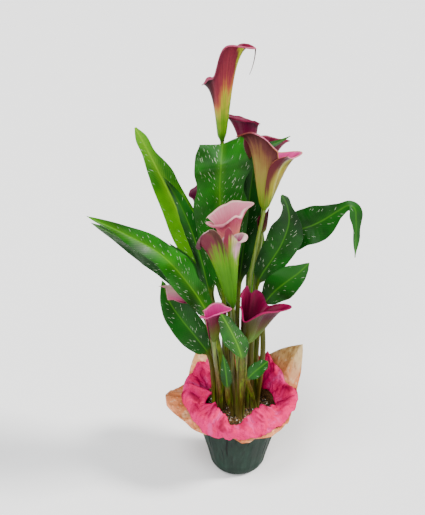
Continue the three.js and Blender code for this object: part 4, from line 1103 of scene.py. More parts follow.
BLOOMS: dict[str, Bloom] = {
    "top": Bloom(
        ("left", 2), ((-26, 38, 250), (-27, 58, 390), (-28, 68, 516), (-30, 69, 592)),
        (0, 0, 1), (0.9, -0.45, 0), (215, 168), -1, 0.22,
        (42, 26, 22, 31, 21, 31), (154, 146, 104, 88, 105, 156), (100, 60, 40, 80, 45, 70), (15, -2), 50,
        Petal(
            "spathe_rose",
            ((0, "5c9c14"), (0.2, "84b020"), (0.34, "ccc24c"), (0.44, "cc8454"), (0.55, "b0505c"),
             (0.85, "983854"), (1, "6a1c3c")),
            ((0, "c8b86a"), (0.5, "8a1f48"), (0.9, "a42c5c"), (1, "c06080")),
            "ec98b0", keel="c0cc30", keel_at=(20, -18), keel_width=8,
            # The two dark burgundy patches, at -0.9 and 0.15, are painted shade down the left contour and on
            # the right.
            stains_and_shade=((-0.9, 0.3, 0.4, 1.2, 0.8, "3c0e22"), (-0.45, 0.25, 0.75, 1.2, 0.4, "b8506c"),
                    (0.15, 0.3, 0.5, 1.2, 0.85, "3a0c1c")),
        ),
        accents=((266, 22, -4, -14, 10, 1.0, 40), (225, 18, 0, 6, 20, 1.5, 60),
                 (12, 14, -4, 0, 30, 2.5, 120)),
    ),
    "back_left": Bloom(
        ("right", 9), ((14, 46, 265), (17, 78, 434), (18, 88, 546)),
        (-0.1, -0.05, 1), (-1, 0.1, 0), (205, 168), 1, 0.4,
        (26, 18, 16, 16, 18, 20), (84, 82, 76, 66, 66, 74), (70, 50, 30, 40, 50, 60), (18, 6), 30,
        Petal(
            "spathe_rose",
            ((0, "8a7a3c"), (0.25, "a0585c"), (0.5, "a03460"), (0.75, "8a1c54"), (1, "6a1244")),
            ((0, "6a0434"), (0.6, "840848"), (0.9, "a01460"), (1, "8c104c")), "a83468",
        ),
    ),
    "right_centre": Bloom(
        ("right", 10), ((9, -16, 235), (10, -20, 330), (17, -23, 405), (26, -24, 463), (34, -24, 512)),
        (0, 0, 1), (0.86, 0.5, 0), (235, 168), -1, 0.35,
        (38, 25, 33, 27, 20, 34), (80, 92, 114, 129, 117, 92), (80, 50, 70, 60, 35, 55), (28, 2), 40,
        Petal(
            "spathe_olive",
            ((0, "6c941c"), (0.2, "98a43c"), (0.42, "ac9c58"), (0.6, "a07c50"), (0.76, "84504c"),
             (1, "682c34")),
            ((0, "a87a40"), (0.5, "c43c84"), (0.9, "e058a0"), (1, "e890b8")),
            "f4b880", veins="5c1c20",
            # The dark patches at -0.4 and 0.35 are painted shade, under the rim on the right and on the left
            # lobe.
            stains_and_shade=((-0.95, 0.14, 0.1, 1.2, 0.9, "7a2440"), (-0.68, 0.16, 0.1, 0.85, 0.9, "c4be3c"),
                    (-0.4, 0.3, 0.6, 1.2, 0.8, "54142c"), (0.35, 0.3, 0.7, 1.2, 0.7, "4a1414")),
            # The brown inner patch is painted shade on the left lobe.
            inner_stains_and_shade=((0.15, 0.62, 0.2, 1.3, 0.95, "8a4a2c"),),
        ),
        middle=105,
        accents=((150, 20, 12, -5, 25, 0, 0),),
    ),
    "back_right": Bloom(
        ("right", 8), ((25, 46, 270), (33, 74, 430), (37, 86, 526)),
        (0.05, 0.05, 1), (1, 0, 0), (205, 168), 1, 0.4,
        (20, 16, 14, 12, 14, 16), (60, 62, 62, 56, 58, 58), (70, 40, 30, 20, 30, 50), (20, 0), 24,
        Petal(
            "spathe_rose",
            ((0, "7f8a2c"), (0.3, "98603c"), (0.6, "94485a"), (1, "a85a74")),
            ((0, "7a0c3c"), (0.7, "8c1450"), (1, "9c2058")), "d08c98",
        ),
    ),
    "upper_front": Bloom(
        ("centre", 4), ((-12, -8, 240), (-13, -6, 340), (-16, -6, 408)),
        (-0.05, -0.1, 1), (1, -0.1, 0), (205, 172), -1, 0.3,
        (26, 18, 18, 33, 22, 22), (110, 107, 99, 83, 85, 101), (60, 30, 30, 80, 95, 75), (14, 2), 44,
        Petal(
            "spathe_pink",
            ((0, "98a040"), (0.18, "c4a468"), (0.36, "f0ac84"), (0.6, "f890a0"), (0.85, "f870a8"),
             (1, "f050a0")),
            ((0, "d04080"), (0.3, "ff78ac"), (0.7, "ffa6be"), (1, "ffbcc8")), "fff0dc", veins="f04c90",
            inner_stains_and_shade=((-0.75, 0.3, 0.5, 1.2, 0.6, "d84c8c"),),
        ),
        accents=((240, 30, 0, 0, 0, 1.4, 30), (322, 12, 2, -6, 20, 1.0, 40)),
    ),
    "centre_front": Bloom(
        ("centre", 5), ((-2, -36, 215), (-8, -51, 290), (-13, -56, 358)),
        (-0.1, 0, 1), (0, 1, 0), (215, 150), 1, 0.3,
        (18, 36, 35, 21, 21, 29), (110, 106, 142, 156, 118, 120), (40, 90, 65, 20, 35, 65), (4, 6), 50,
        Petal(
            "spathe_green",
            ((0, "4c8404"), (0.4, "6ca408"), (0.62, "8cb410"), (0.8, "b8c850"), (1, "e4d8a0")),
            ((0, "a01860"), (0.5, "b8307c"), (0.8, "d878a4"), (1, "f0c8cc")),
            "ecd8c4", veins="4c6a18",
            stains_and_shade=((0.7, 0.36, 0.5, 1.2, 0.95, "8c0c58"), (0.97, 0.14, 0.45, 1.2, 0.9, "64083c"),
                    (-0.96, 0.18, 0.45, 1.2, 0.95, "a40c60"), (-0.55, 0.26, 0.55, 1.2, 0.8, "e8acd0")),
            inner_stains_and_shade=((0.64, 0.34, 0.62, 1.3, 0.92, "641844"), (-0.9, 0.14, 0.6, 1.3, 0.8, "94205c")),
        ),
        middle=-12, bend=0.45,
        accents=((92, 16, 7, -10, 30, 2.4, 100), (272, 18, 2, 4, 15, 2.2, 60)),
    ),
    "small_left": Bloom(
        ("left", 11), ((-33, -34, 195), (-40, -56, 250), (-43, -62, 298)),
        (0, 0, 1), (1, -0.35, 0), (205, 165), 1, 0.35,
        (17, 14, 13, 19, 14, 13), (61, 64, 60, 47, 48, 57), (60, 30, 30, 70, 50, 40), (12, 3), 22,
        Petal(
            "spathe_pink",
            ((0, "647c20"), (0.35, "6c6028"), (0.6, "70343c"), (0.82, "842050"), (1, "b02c78")),
            ((0, "a8106c"), (0.6, "dc2c94"), (1, "ec50ac")), "f0b0b8", veins="a01060",
        ),
    ),
    "low_right": Bloom(
        ("centre", 6), ((8, -33, 200), (9, -48, 250), (7, -56, 286)),
        (0.1, 0.05, 1), (1, 0.1, 0), (215, 165), 1, 0.5,
        (42, 30, 18, 13, 16, 33), (70, 86, 90, 78, 52, 75), (80, 50, 20, 15, 45, 70), (26, 4), 32,
        Petal(
            "spathe_magenta",
            ((0, "6a9820"), (0.25, "688024"), (0.42, "6c6030"), (0.66, "703448"), (1, "801448")),
            ((0, "4c042c"), (0.5, "740440"), (0.85, "980c54"), (1, "b4186c")), "a03c70",
            stains_and_shade=((-0.5, 0.4, 0.3, 0.8, 0.5, "5c7428"),),
        ),
        accents=((30, 13, 0, -14, 0, 0, 0), (80, 9, 0, -9, 0, 0, 0), (100, 10, 0, 4, -10, 0, 0)),
    ),
    "bud_left": Bloom(
        ("left", 5), ((-41, -20, 240), (-54, -20, 304), (-64, -22, 338), (-77, -24, 353)),
        (-0.92, -0.09, 0.38), (-0.4, 0, 0.9), (215, 150), 1, 0.8,
        (8, 10, 11, 11, 11, 10), (50, 48, 42, 36, 42, 48), (-20, 0, 10, 20, 10, 0), (-4, 10), 0,
        Petal(
            "spathe_pink",
            ((0, "7a6a38"), (0.25, "8a4460"), (0.6, "b86a8c"), (1, "cc9aa4")),
            ((0, "b03070"), (1, "d070a0")), "e8d4cc", keel="d4b8ac", keel_at=(-20, 0), keel_width=95,
            stains_and_shade=((0.8, 0.4, 0.2, 1.2, 0.8, "c83a80"), (-0.8, 0.3, 0.2, 1.2, 0.5, "c83a80")),
            veins="a04070",
        ),
        roll=(0.8, 60), ruffle=0.3,
    ),
    "hidden_left": Bloom(
        ("left", 8), ((-42, 58, 250), (-50, 84, 332), (-56, 99, 405)),
        (-0.1, 0, 1), (0, 1, 0), (205, 165), 1, 0.4,
        (22, 20, 18, 14, 18, 20), (88, 86, 82, 72, 80, 86), (70, 60, 50, 30, 50, 60), (12, 6), 34,
        Petal(
            "spathe_magenta",
            ((0, "7f8c3e"), (0.3, "5a3a30"), (0.6, "441228"), (1, "4c1030")),
            ((0, "5a1040"), (1, "70184c")), "904868",
        ),
    ),
    "bud_right": Bloom(
        ("right", 4), ((23, 14, 300), (28, 17, 400), (35, 18, 455)),
        (0.03, 0, 1), (1, 0, 0), (215, 150), 1, 0.8,
        (5, 6, 6, 6, 6, 6), (34, 31, 27, 24, 27, 31), (20, 10, 0, 0, 0, 10), (4, 8), 0,
        Petal(
            "spathe_magenta",
            ((0, "7f8c3e"), (0.3, "6a3a30"), (0.6, "54142a"), (1, "481020")),
            ((0, "5a1430"), (1, "802048")), "7c2840",
        ),
        roll=(0.6, 60), ruffle=0.3,
    ),
}


def six_round(values: tuple[float, ...], degrees: Array) -> Array:
    """A value round the flower from six at 0, 60, 120, 180, 240 and 300 degrees, joined by cubics."""
    span = (degrees % 360) / 60
    i = np.floor(span).astype(int)
    return cubic(*(np.array(values, float)[(i + k) % 6] for k in (-1, 0, 1, 2)), span - i)


def rod(path: Array, radii: Array, sides: int) -> Array:
    """Rings of points round a line.

    Args:
        path: points of the line.
        radii: the radius at each, or at each and each side.
        sides: points in a ring.

    Returns:
        Rings by sides by 3.
    """
    heading = unit(np.gradient(path, axis=0))
    side = unit(np.array([1.0, 0, 0]) - heading * heading[:, :1])
    front = np.cross(heading, side)
    turn = np.linspace(0, 2 * math.pi, sides, endpoint=False)
    reach = np.broadcast_to(radii if radii.ndim == 2 else radii[:, None], (len(path), sides))[..., None]
    ring = np.cos(turn)[:, None] * side[:, None] + np.sin(turn)[:, None] * front[:, None]
    return path[:, None] + reach * ring


@dataclass(frozen=True)
class Flowers:
    """All the flowers: scape, rolled spathe and spadix, and the dry thread at the top one's tip.

    Lengths are in mm. waist_rise is the height of each line's second control point, as a share of the
    rim's, and shut brings the columns closer together at the margins.
    """

    thickness: float = 1.0
    rim_thickness: float = 0.5
    lap: float = 2.7
    flare: float = 1.6
    waist_rise: float = 0.42
    tip_spread: float = 15.0
    shut: float = 0.28
    rows: int = 52
    roll_rows: int = 10
    columns: int = 102
    scape_sides: int = 16
    scape_rings: int = 70
    inner_rings: int = 6
    into_spathe: float = 9.0
    spadix_radius: float = 2.6
    spadix_foot: float = 0.09
    spadix_clear: float = 1.2
    spadix_sides: int = 26
    spadix_rows: int = 60
    florets: int = 9
    floret_pitch: float = 2.4
    floret_depth: float = 0.07
    thread_top: Point = (18.8, 46.4, 743.4)
    thread_drop: Point = (-8.5, -4.0, -38.0)
    thread_radii: Span = (1.0, 0.35)
    thread_sway: float = 0.06
    thread_rings: int = 40
    thread_sides: int = 10

    def frame_of(self, bloom: Bloom, route: Route) -> tuple[Array, Array, Array, Array]:
        """Where a spathe stands and how it is turned.

        Args:
            bloom: the flower's sizes.
            route: its scape.

        Returns:
            Its base point, its axis, its tip's direction and the direction across them.
        """
        axis = unit(np.array(bloom.axis, float))
        back = np.array(bloom.back, float)
        back = unit(back - back @ axis * axis)
        heading = route.heading(np.array([route.length - 2]))[0]
        clear = FOOT_GAP + SCAPE_TOP * math.sqrt(1 - min(1.0, float(heading @ axis)) ** 2)
        return route.at(np.array([route.length]))[0] + heading * clear, axis, back, np.cross(axis, back)

    def profile(self, bloom: Bloom, degrees: Array, rise: Array, curl: Array) -> tuple[Array, Array]:
        """Radius and height of the spathe.

        Each line from foot to rim is a cubic that leaves the tube upright and reaches the rim leaning out
        by lean degrees. Past the rim it goes on as an arc, which is the rolled edge.

        Args:
            bloom: the flower's sizes.
            degrees: angle from the tip.
            rise: 0 at the foot, 1 at the rim.
            curl: 0 at the rim, 1 at the free edge of the roll.

        Returns:
            The radius and the height.
        """
        peak = bump(around(degrees, 0), 0, self.tip_spread)
        values = [six_round(v, degrees) for v in (bloom.radius, bloom.height, bloom.lean)]
        values += [np.full_like(degrees, v) for v in bloom.roll]
        for middle, spread, *added in bloom.accents:
            here = bump(around(degrees, middle), 0, spread)
            values = [v + a * here for v, a in zip(values, added)]
        rim_radius, rim_height, lean, arc, sweep = values
        rim_radius, rim_height = rim_radius + bloom.tip[0] * peak, rim_height + bloom.tip[1] * peak
        lean, sweep = np.radians(lean), np.radians(sweep) * curl
        reach = rim_radius - TUBE_RADIUS
        pull = np.minimum(0.4 * rim_height, bloom.bend * reach / np.maximum(0.3, np.sin(lean)))
        waist = TUBE_RADIUS + bloom.belly * reach
        near_rim = rim_radius - pull * np.sin(lean), rim_height - pull * np.cos(lean)
        w = [(1 - rise) ** 3, 3 * rise * (1 - rise) ** 2, 3 * rise**2 * (1 - rise), rise**3]
        radius = w[0] * TUBE_RADIUS + w[1] * waist + w[2] * near_rim[0] + w[3] * rim_radius
        height = w[1] * self.waist_rise * rim_height + w[2] * near_rim[1] + w[3] * rim_height
        arc = arc * (1 - 0.75 * peak)
        radius = radius + arc * (np.cos(lean) - np.cos(lean + sweep))
        height = height + arc * (np.sin(lean + sweep) - np.sin(lean))
        return mix(SCAPE_TOP + 0.1, radius, ease(rise / 0.05)), height

    def spathe_skin(self, bloom: Bloom, route: Route, seed: int) -> Skin:
        """The spathe as one rolled closed sheet.

        Its profile is carried round the axis. One margin is moved in and the other out by half a lap,
        so that the roll closes, and both flare a little near the rim. Ruffles grow towards the rim.

        Args:
            bloom: the flower's sizes.
            route: its scape.
            seed: picks its ruffles.

        Returns:
            The surface with its traits.
        """
        base, axis, back, across = self.frame_of(bloom, route)
        rise = np.concatenate([np.linspace(0, 1, self.rows) ** 1.1, np.ones(self.roll_rows)])[:, None]
        curl = np.concatenate([np.zeros(self.rows), np.linspace(0, 1, self.roll_rows + 1)[1:]])[:, None]
        turn = np.linspace(-1, 1, self.columns)[None, :]
        turn = turn + self.shut / math.pi * np.sin(math.pi * turn)
        degrees = bloom.middle + turn * mix(bloom.wrap[0], bloom.wrap[1], rise**1.5)
        radius, height = self.profile(bloom, degrees, rise, curl)
        lap = self.lap / 2 * (1 + turn * bloom.lap) * (1 - rise**6) * ease(rise / 0.08)
        flare = self.flare * bump(np.abs(turn), 1, 0.05) * rise**3
        wave = bloom.ruffle * rise**5 * lattice_noise(degrees / 26 + 40, 0 * degrees + seed, seed)
        fine = 0.35 * bloom.ruffle * rise**4 * lattice_noise(degrees / 9 + 60, rise * 3, seed + 1)
        radius, height = radius + lap + flare + fine, height + wave
        angle = np.radians(degrees)
        out = np.cos(angle)[..., None] * back + np.sin(angle)[..., None] * across
        spots = base + height[..., None] * axis + radius[..., None] * out
        normal = unit(np.cross(np.gradient(spots, axis=1), np.gradient(spots, axis=0)))
        thick = mix(self.thickness, self.rim_thickness, np.maximum(rise**4, curl))[..., None] / 2
        place = np.stack([degrees / 360, turn + 0 * rise, rise + 0.08 * curl + 0 * turn], -1)
        return Skin.sheet(spots + thick * normal, spots - thick * normal, False, {"petal": place})

    def scape_skin(self, route: Route, base: Array, axis: Array) -> Skin:
        """The scape: a rod along its route and on into the spathe, thinner towards its top.

        Args:
            route: the scape's line.
            base: the spathe's base point.
            axis: the spathe's axis.

        Returns:
            The surface.
        """
        run = np.linspace(0, route.length - 1, self.scape_rings)
        inside = base + np.linspace(1, self.into_spathe, self.inner_rings)[:, None] * axis
        path = np.vstack([route.at(run), inside])
        girth = mix(STALK_FOOT, SCAPE_TOP, np.linspace(0, 1, len(path)))
        return Skin.tube(rod(path, girth, self.scape_sides))

    def spadix_skin(self, bloom: Bloom, base: Array, axis: Array) -> Skin:
        """The rod inside a spathe, with a round end, covered with rows of small round florets.

        The florets are a product of two cosines that turn opposite ways as they rise.

        Args:
            bloom: the flower's sizes.
            base: the spathe's base point.
            axis: the spathe's axis.

        Returns:
            The surface.
        """
        low, high = self.spadix_span(bloom)
        t = np.linspace(0, 1, self.spadix_rows)
        along = mix(low, high, t)[:, None]
        body = self.spadix_radius * np.sqrt(np.maximum(0.02, 1 - np.maximum(0, (t - 0.55) / 0.46) ** 2.2))
        turn = np.linspace(0, 2 * math.pi, self.spadix_sides, endpoint=False)[None, :]
        way, up = self.florets * turn, self.floret_pitch * along
        bulge = 1 + self.floret_depth * (np.cos(way + up) * np.cos(way - up))
        return Skin.tube(rod(base + along * axis, body[:, None] * bulge, self.spadix_sides))

    def spadix_span(self, bloom: Bloom) -> Span:
        """How far up from the spathe's base the spadix starts and ends: just clear of where it narrows."""
        share = 3 * self.spadix_foot * (1 - self.spadix_foot) ** 2 * self.waist_rise
        start = share * float(np.mean(bloom.height)) + self.spadix_clear
        return start, start + bloom.spadix

    def thread_skin(self) -> Skin:
        """The withered thread at the top flower's tip: it falls evenly and swings with the fall's square.

        Returns:
            The surface.
        """
        t = np.linspace(0, 1, self.thread_rings)
        fall = np.stack([t**2, t**2 + self.thread_sway * np.sin(9 * t), t], -1)
        path = np.array(self.thread_top) + fall * self.thread_drop
        return Skin.tube(rod(path, mix(*self.thread_radii, t), self.thread_sides))

    def build(self) -> None:
        """Makes every flower, and the thread."""
        stem = StemFinish().material()
        club = SpadixFinish().material()
        for number, (name, bloom) in enumerate(BLOOMS.items()):
            route = Route(foot_on(*bloom.foot), bloom.stem)
            base, axis, _, _ = self.frame_of(bloom, route)
            self.scape_skin(route, base, axis).piece(f"stem_{name}", stem, "scape", f"scape_{name}")
            skin = self.spathe_skin(bloom, route, 17 * number + 5)
            skin.piece(f"petal_{name}", bloom.petal.material(name), bloom.petal.slot, f"spathe_{name}")
            if bloom.spadix:
                self.spadix_skin(bloom, base, axis).piece(f"club_{name}", club, "spadix", f"spadix_{name}")
        self.thread_skin().piece("dry_tip", ThreadFinish().material(), "spathe_rose")


@dataclass(frozen=True)
class ThreadFinish:
    """The brown fibre that a withered petal tip leaves."""

    light: str = "7a4030"
    dark: str = "4a2018"

    def material(self) -> Material:
        """Makes the material.

        Returns:
            The material.
        """
        paint = Paint("dry_tip")
        fibre = paint.grain(900, 3, stretch=(1, 1, 0.2))
        colour = paint.turning(fibre, self.light, self.dark, 0.35, 0.65)
        return paint.finish(colour, 0.7, specular=0.1)


@dataclass(frozen=True)
class SpadixFinish:
    """A golden spadix of fine florets, each a little lighter or deeper, with brown between them."""

    light: str = "e9bd3c"
    deep: str = "d19a26"
    between: str = "9a6a1c"

    def material(self) -> Material:
        """Makes the material.

        Returns:
            The material.
        """
        paint = Paint("spadix")
        near, chance = paint.cells(paint.place(), 900)
        colour = paint.blend(chance, tone(self.light), tone(self.deep))
        colour = paint.tinted(colour, self.between, near, 0.2, 0.7, 0, 0.5)
        paint.relief(near, -0.0006, 0.5)
        return paint.finish(colour, 0.7)


@dataclass(frozen=True)
class EarthFinish:
    """The finish of earthy stuff: colours that follow a noise of so many lumps a metre, and its own relief.

    Where they are set, shade lies on the hills of a second, wider noise, and fine_lumps is the relief's
    own noise.
    """

    name: str
    lumps: float
    detail: float
    stops: Stops
    relief: float
    strength: float
    roughness: float
    harshness: float = 0.55
    specular: float = 0.5
    shade: str = ""
    fine_lumps: float = 0.0
    stretch: Point = (1, 1, 1)

    def material(self) -> Material:
        """Makes the material.

        Returns:
            The material.
        """
        paint = Paint(self.name)
        grain = paint.grain(self.lumps, self.detail, self.harshness, self.stretch)
        colour = paint.ramp(grain, self.stops)
        if self.shade:
            wide = paint.grain(90, 4)
            colour = paint.tinted(colour, self.shade, wide, 0.4, 0.65, 0, 0.45)
        height = paint.grain(self.fine_lumps, 3) if self.fine_lumps else grain
        paint.relief(height, self.relief, self.strength)
        return paint.finish(colour, self.roughness, specular=self.specular)


MIX_FINISH = EarthFinish(
    "soil", 420, 6, ((0.3, "3c2c1c"), (0.5, "745a38"), (0.7, "b0905c")), 0.002, 0.9, 0.92,
    harshness=0.7, shade="2e2016",
)
BARK_FINISH = EarthFinish(
    "bark", 300, 4, ((0.35, "4c3c26"), (0.5, "947448"), (0.66, "d4b484")), 0.001, 0.8, 0.9, specular=0.15
)
PERLITE_FINISH = EarthFinish(
    "perlite", 120, 4, ((0.36, "d0b890"), (0.5, "f0e6d0"), (0.62, "ffffff")), 0.0006, 0.8, 0.85,
    fine_lumps=1500,
)
TUBER_FINISH = EarthFinish(
    "tuber", 160, 5, ((0.3, "3a2414"), (0.5, "6a4628"), (0.7, "8f6a42")), 0.003, 0.8, 0.88,
    stretch=(1, 1, 2.5),
)


def lump_cube() -> tuple[Array, Faces]:
    """A cube of 3 by 3 by 3 points drawn out to a ball, with four faces to a side.

    Returns:
        The points, and the four point numbers of each face.
    """
    ends = (-1, 0, 1)
    cube = np.array([(a, b, c) for a in ends for b in ends for c in ends], float)
    number = {tuple(p): k for k, p in enumerate(cube.astype(int))}
    quads = []
    for axis in range(3):
        u, v = (axis + 1) % 3, (axis + 2) % 3
        for hand in (-1, 1):
            for a, b in ((-1, -1), (-1, 0), (0, -1), (0, 0)):
                ring = [(a, b), (a + 1, b), (a + 1, b + 1), (a, b + 1)][::hand]
                spots = [[0, 0, 0] for _ in ring]
                for spot, (p, q) in zip(spots, ring):
                    spot[axis], spot[u], spot[v] = hand, p, q
                quads.append([number[tuple(spot)] for spot in spots])
    return unit(cube), np.array(quads)


@dataclass(frozen=True)
class Soil:
    """The mix: its body, its rough top, and the light and dark crumbs that lie on it. Lengths in mm.

    wall holds the radius and height of the body's corners from its foot up. crumb_lift is how far the
    crumbs stand out, in their own radii, and crumb_form how much their form varies.
    """

    bottom: float = 3.6
    bottom_radius: float = 8.0
    top: float = 117.6
    level_radius: float = 30.0
    edge_radius: float = 62.8
    edge_z: float = 114.0
    wall: tuple[Span, ...] = ((32.5, 3.6), (39.0, 7.4), (42.9, 13.6), (45.7, 25.2))
    relief: float = 1.3
    columns: int = 180
    rings: int = 60
    perlite: int = 340
    perlite_radii: Span = (0.7, 2.0)
    bark: int = 760
    bark_radii: Span = (0.8, 2.2)
    edge_clear: float = 1.5
    crumb_lift: float = 0.35
    crumb_form: Span = (0.7, 1.2)

    def top_at(self, x: Array, y: Array) -> Array:
        """Height of the soil: a shallow dome with lumps of two sizes, which die out at the edge.

        Args:
            x: places along the first way.
            y: places along the second.

        Returns:
            The height at each place.
        """
        r = np.hypot(x, y)
        fall = (r - self.level_radius) / (self.edge_radius - self.level_radius)
        dome = mix(self.top, self.edge_z, ease(fall))
        lumps = lattice_noise(x / 7 + 30, y / 7 + 30, 5) + 0.5 * lattice_noise(x / 2.6 + 30, y / 2.6 + 30, 6)
        return dome + self.relief * lumps * ease((self.edge_radius - r) / 4)

    def body(self) -> Skin:
        """The mix as one closed body of rings, from the middle of its underside to the middle of its top.

        Returns:
            The surface.
        """
        turn = np.linspace(0, 2 * math.pi, self.columns, endpoint=False)
        sides = [(self.bottom_radius, self.bottom), *self.wall, (self.edge_radius, self.edge_z)]
        reach = np.linspace(1, 0.01, self.rings)[:, None] * self.edge_radius
        x, y = reach * np.cos(turn), reach * np.sin(turn)
        upper = np.stack([x, y, self.top_at(x, y)], -1)
        lower = [np.stack([r * np.cos(turn), r * np.sin(turn), 0 * turn + z], -1) for r, z in sides]
        return Skin.tube(np.concatenate([lower, upper]))

    def crumbs(self, count: int, sizes: Span, seed: int) -> Skin:
        """Lumps scattered on the top: small balls, each pushed out of shape and turned at random.

        Args:
            count: how many.
            sizes: least and greatest radius.
            seed: picks their places and shapes.

        Returns:
            The lumps as one surface.
        """
        chance = np.random.default_rng(seed)
        ball, quads = lump_cube()
        reach = (self.edge_radius - self.edge_clear) * np.sqrt(chance.uniform(0.0, 1, count))
        turn = chance.uniform(0, 2 * math.pi, count)
        x, y = reach * np.cos(turn), reach * np.sin(turn)
        size = mix(sizes[0], sizes[1], chance.uniform(0, 1, count) ** 2)[:, None, None]
        lumpy = ball * chance.uniform(*self.crumb_form, (count, len(ball), 1))
        lumpy = lumpy * chance.uniform(*self.crumb_form, (count, 1, 3))
        spin = chance.uniform(0, 2 * math.pi, count)[:, None]
        cos, sin = np.cos(spin), np.sin(spin)
        a, b, c = lumpy[..., 0], lumpy[..., 1], lumpy[..., 2]
        lumpy = np.stack([cos * a - sin * b, sin * a + cos * b, c], -1)
        places = np.stack([x, y, self.top_at(x, y) + self.crumb_lift * size[:, 0, 0]], -1)[:, None]
        faces = quads[None] + (len(ball) * np.arange(count))[:, None, None]
        points = (places + size * lumpy).reshape(-1, 3)
        return Skin(points, outward(points, faces.reshape(-1, 4)))

    def build(self) -> None:
        """Makes the mix and its crumbs."""
        self.body().piece("soil_top", MIX_FINISH.material(), "potting_mix", "potting_mix")
        bark = self.crumbs(self.bark, self.bark_radii, 8)
        bark.piece("bark_crumbs", BARK_FINISH.material(), "potting_mix")
        perlite = self.crumbs(self.perlite, self.perlite_radii, 9)
        perlite.piece("perlite_crumbs", PERLITE_FINISH.material(), "potting_mix")


@dataclass(frozen=True)
class CoverFinish:
    """Dark green pressed paper: cloudy, fibrous, paler where its dents stand out, and nearly black with
    painted shade in its slits.

    slit_shadow_fade holds the heights in metres between which short dark streaks of painted slit shadow come
    in.
    """

    deep: str = "18382a"
    green: str = "224838"
    fibre: str = "3e6050"
    raised_pale: str = "4c7060"
    # The colour of the painted shade and shadow in the slits.
    dark: str = "060c09"
    slit_shadow_fade: Span = (0.045, 0.1)

    def material(self) -> Material:
        """Makes the material. The mesh keeps "depth", how far each point stands out, in mm.

        Returns:
            The material.
        """
        paint = Paint("pot_cover")
        fibre = paint.grain(260, 4, stretch=(1, 1, 0.18))
        colour = paint.turning(paint.grain(26, 3), self.deep, self.green)
        colour = paint.tinted(colour, self.fibre, fibre, 0.5, 0.72, 0, 0.3)
        depth = paint.trait("depth")
        # Paler where the dents stand out.
        colour = paint.tinted(colour, self.raised_pale, depth, 0.2, 0.6, 0, 0.3)
        # Painted shade: nearly black in the hollows of the slits.
        colour = paint.tinted(colour, self.dark, depth, -1.3, -0.6, 0.9, 0)
        # Painted shadow: short dark streaks like slits, high on the cover.
        slit_shadow = paint.grain(62, 2, stretch=(1, 1, 0.16))
        high = paint.span(paint.height(), *self.slit_shadow_fade)
        colour = paint.over(colour, self.dark, paint.times(paint.span(slit_shadow, 0.635, 0.66), high))
        paint.relief(fibre, 0.0009, 0.5)
        return paint.finish(colour, 0.62, specular=0.18)


@dataclass(frozen=True)
class Cover:
    """The pleated pot cover. Lengths are in mm.

    outer is its profile: radius and height, with the rounded base up to base_end. A slit is a narrow
    hollow: angle, depth, width in degrees, and the heights that it spans.
    """

    wall: float = 1.1
    pleats: int = 16
    pleat: float = 1.6
    dent: float = 0.6
    columns: int = 400
    outer: tuple[Span, ...] = (
        (0.01, 0), (35, 0), (39.6, 1.0), (43.2, 3.2), (46.0, 6.6), (48.0, 10.8), (49.7, 17), (51.2, 25),
        (63.6, 72.2), (75.9, 125.5),
    )
    base_end: int = 7
    slits: tuple[tuple[float, float, float, float, float], ...] = (
        (222, 1.3, 0.9, 60, 122), (243, 1.2, 1.0, 22, 80), (252, 2.6, 1.1, 52, 124), (258, 1.2, 0.9, 30, 66),
        (266, 1.9, 1.0, 88, 124), (283, 1.6, 1.0, 84, 122), (296, 1.0, 0.9, 96, 122), (318, 1.2, 1.0, 40, 90),
        (340, 1.5, 1.1, 62, 120), (12, 1.2, 1.1, 20, 78), (36, 2.0, 1.0, 70, 122), (68, 1.4, 1.0, 30, 92),
        (98, 1.9, 1.0, 60, 122), (140, 1.5, 1.1, 25, 88), (176, 1.7, 1.0, 55, 122), (202, 1.0, 1.0, 20, 70),
    )
    slit_end: float = 14.0
    slit_drift: float = 1.2
    base_rows: int = 18
    rows: int = 38

    def skin(self) -> Skin:
        """The cover as one closed sheet: its profile turned round, with pleats, soft dents and slits.

        A pleat is a fold of |2p - 1|^1.2 over its own phase p, and both pleats and dents come in above
        the base.

        Returns:
            The surface, with "depth": how far dents and slits move it.
        """
        knots = np.array(self.outer, float)
        run = np.concatenate([[0.0], np.cumsum(np.linalg.norm(np.diff(knots, axis=0), axis=1))])
        base, top = run[self.base_end], run[-1]
        s = np.concatenate([np.linspace(0, base, self.base_rows), np.linspace(base, top, self.rows)[1:]])
        s = s[:, None]
        r, z = np.interp(s, run, knots[:, 0]), np.interp(s, run, knots[:, 1])
        degrees = np.linspace(0, 360, self.columns, endpoint=False)[None, :]
        phase = degrees * self.pleats / 360
        lean = 0.06 * lattice_noise(phase + 0 * z, z / 40, 2, period=self.pleats)
        pleat = self.pleat * np.abs(2 * ((phase + lean) % 1) - 1) ** 1.2 * ease((z - 2) / 20)
        pleat = pleat * (0.7 + 0.4 * lattice_noise(phase, z / 50, 3, period=self.pleats))
        dents = lattice_noise(phase * 3, z / 26, 4, True, 3 * self.pleats)
        depth = self.dent * dents * ease((z - 6) / 20)
        for middle, deep, width, low, high in self.slits:
            span = ease((z - low) / self.slit_end) * ease((high - z) / self.slit_end)
            drift = self.slit_drift * lattice_noise(z / 25 + middle, 0 * z + middle, 11)
            depth = depth - deep * span * bump(around(degrees, middle) + drift, 0, width)
        angle = np.radians(degrees)
        full = r + pleat + depth
        faces = [
            np.stack([k * np.cos(angle), k * np.sin(angle), z + 0 * k], -1) for k in (full, full - self.wall)
        ]
        faces[1][..., 2] += self.wall * (1 - ease((s - run[1]) / (base - run[1])))
        return Skin.sheet(faces[0], faces[1], True, {"depth": np.broadcast_to(depth, full.shape)})

    def build(self) -> None:
        """Makes the cover."""
        self.skin().piece("cover_shell", CoverFinish().material(), "pot_cover", "pot_cover")


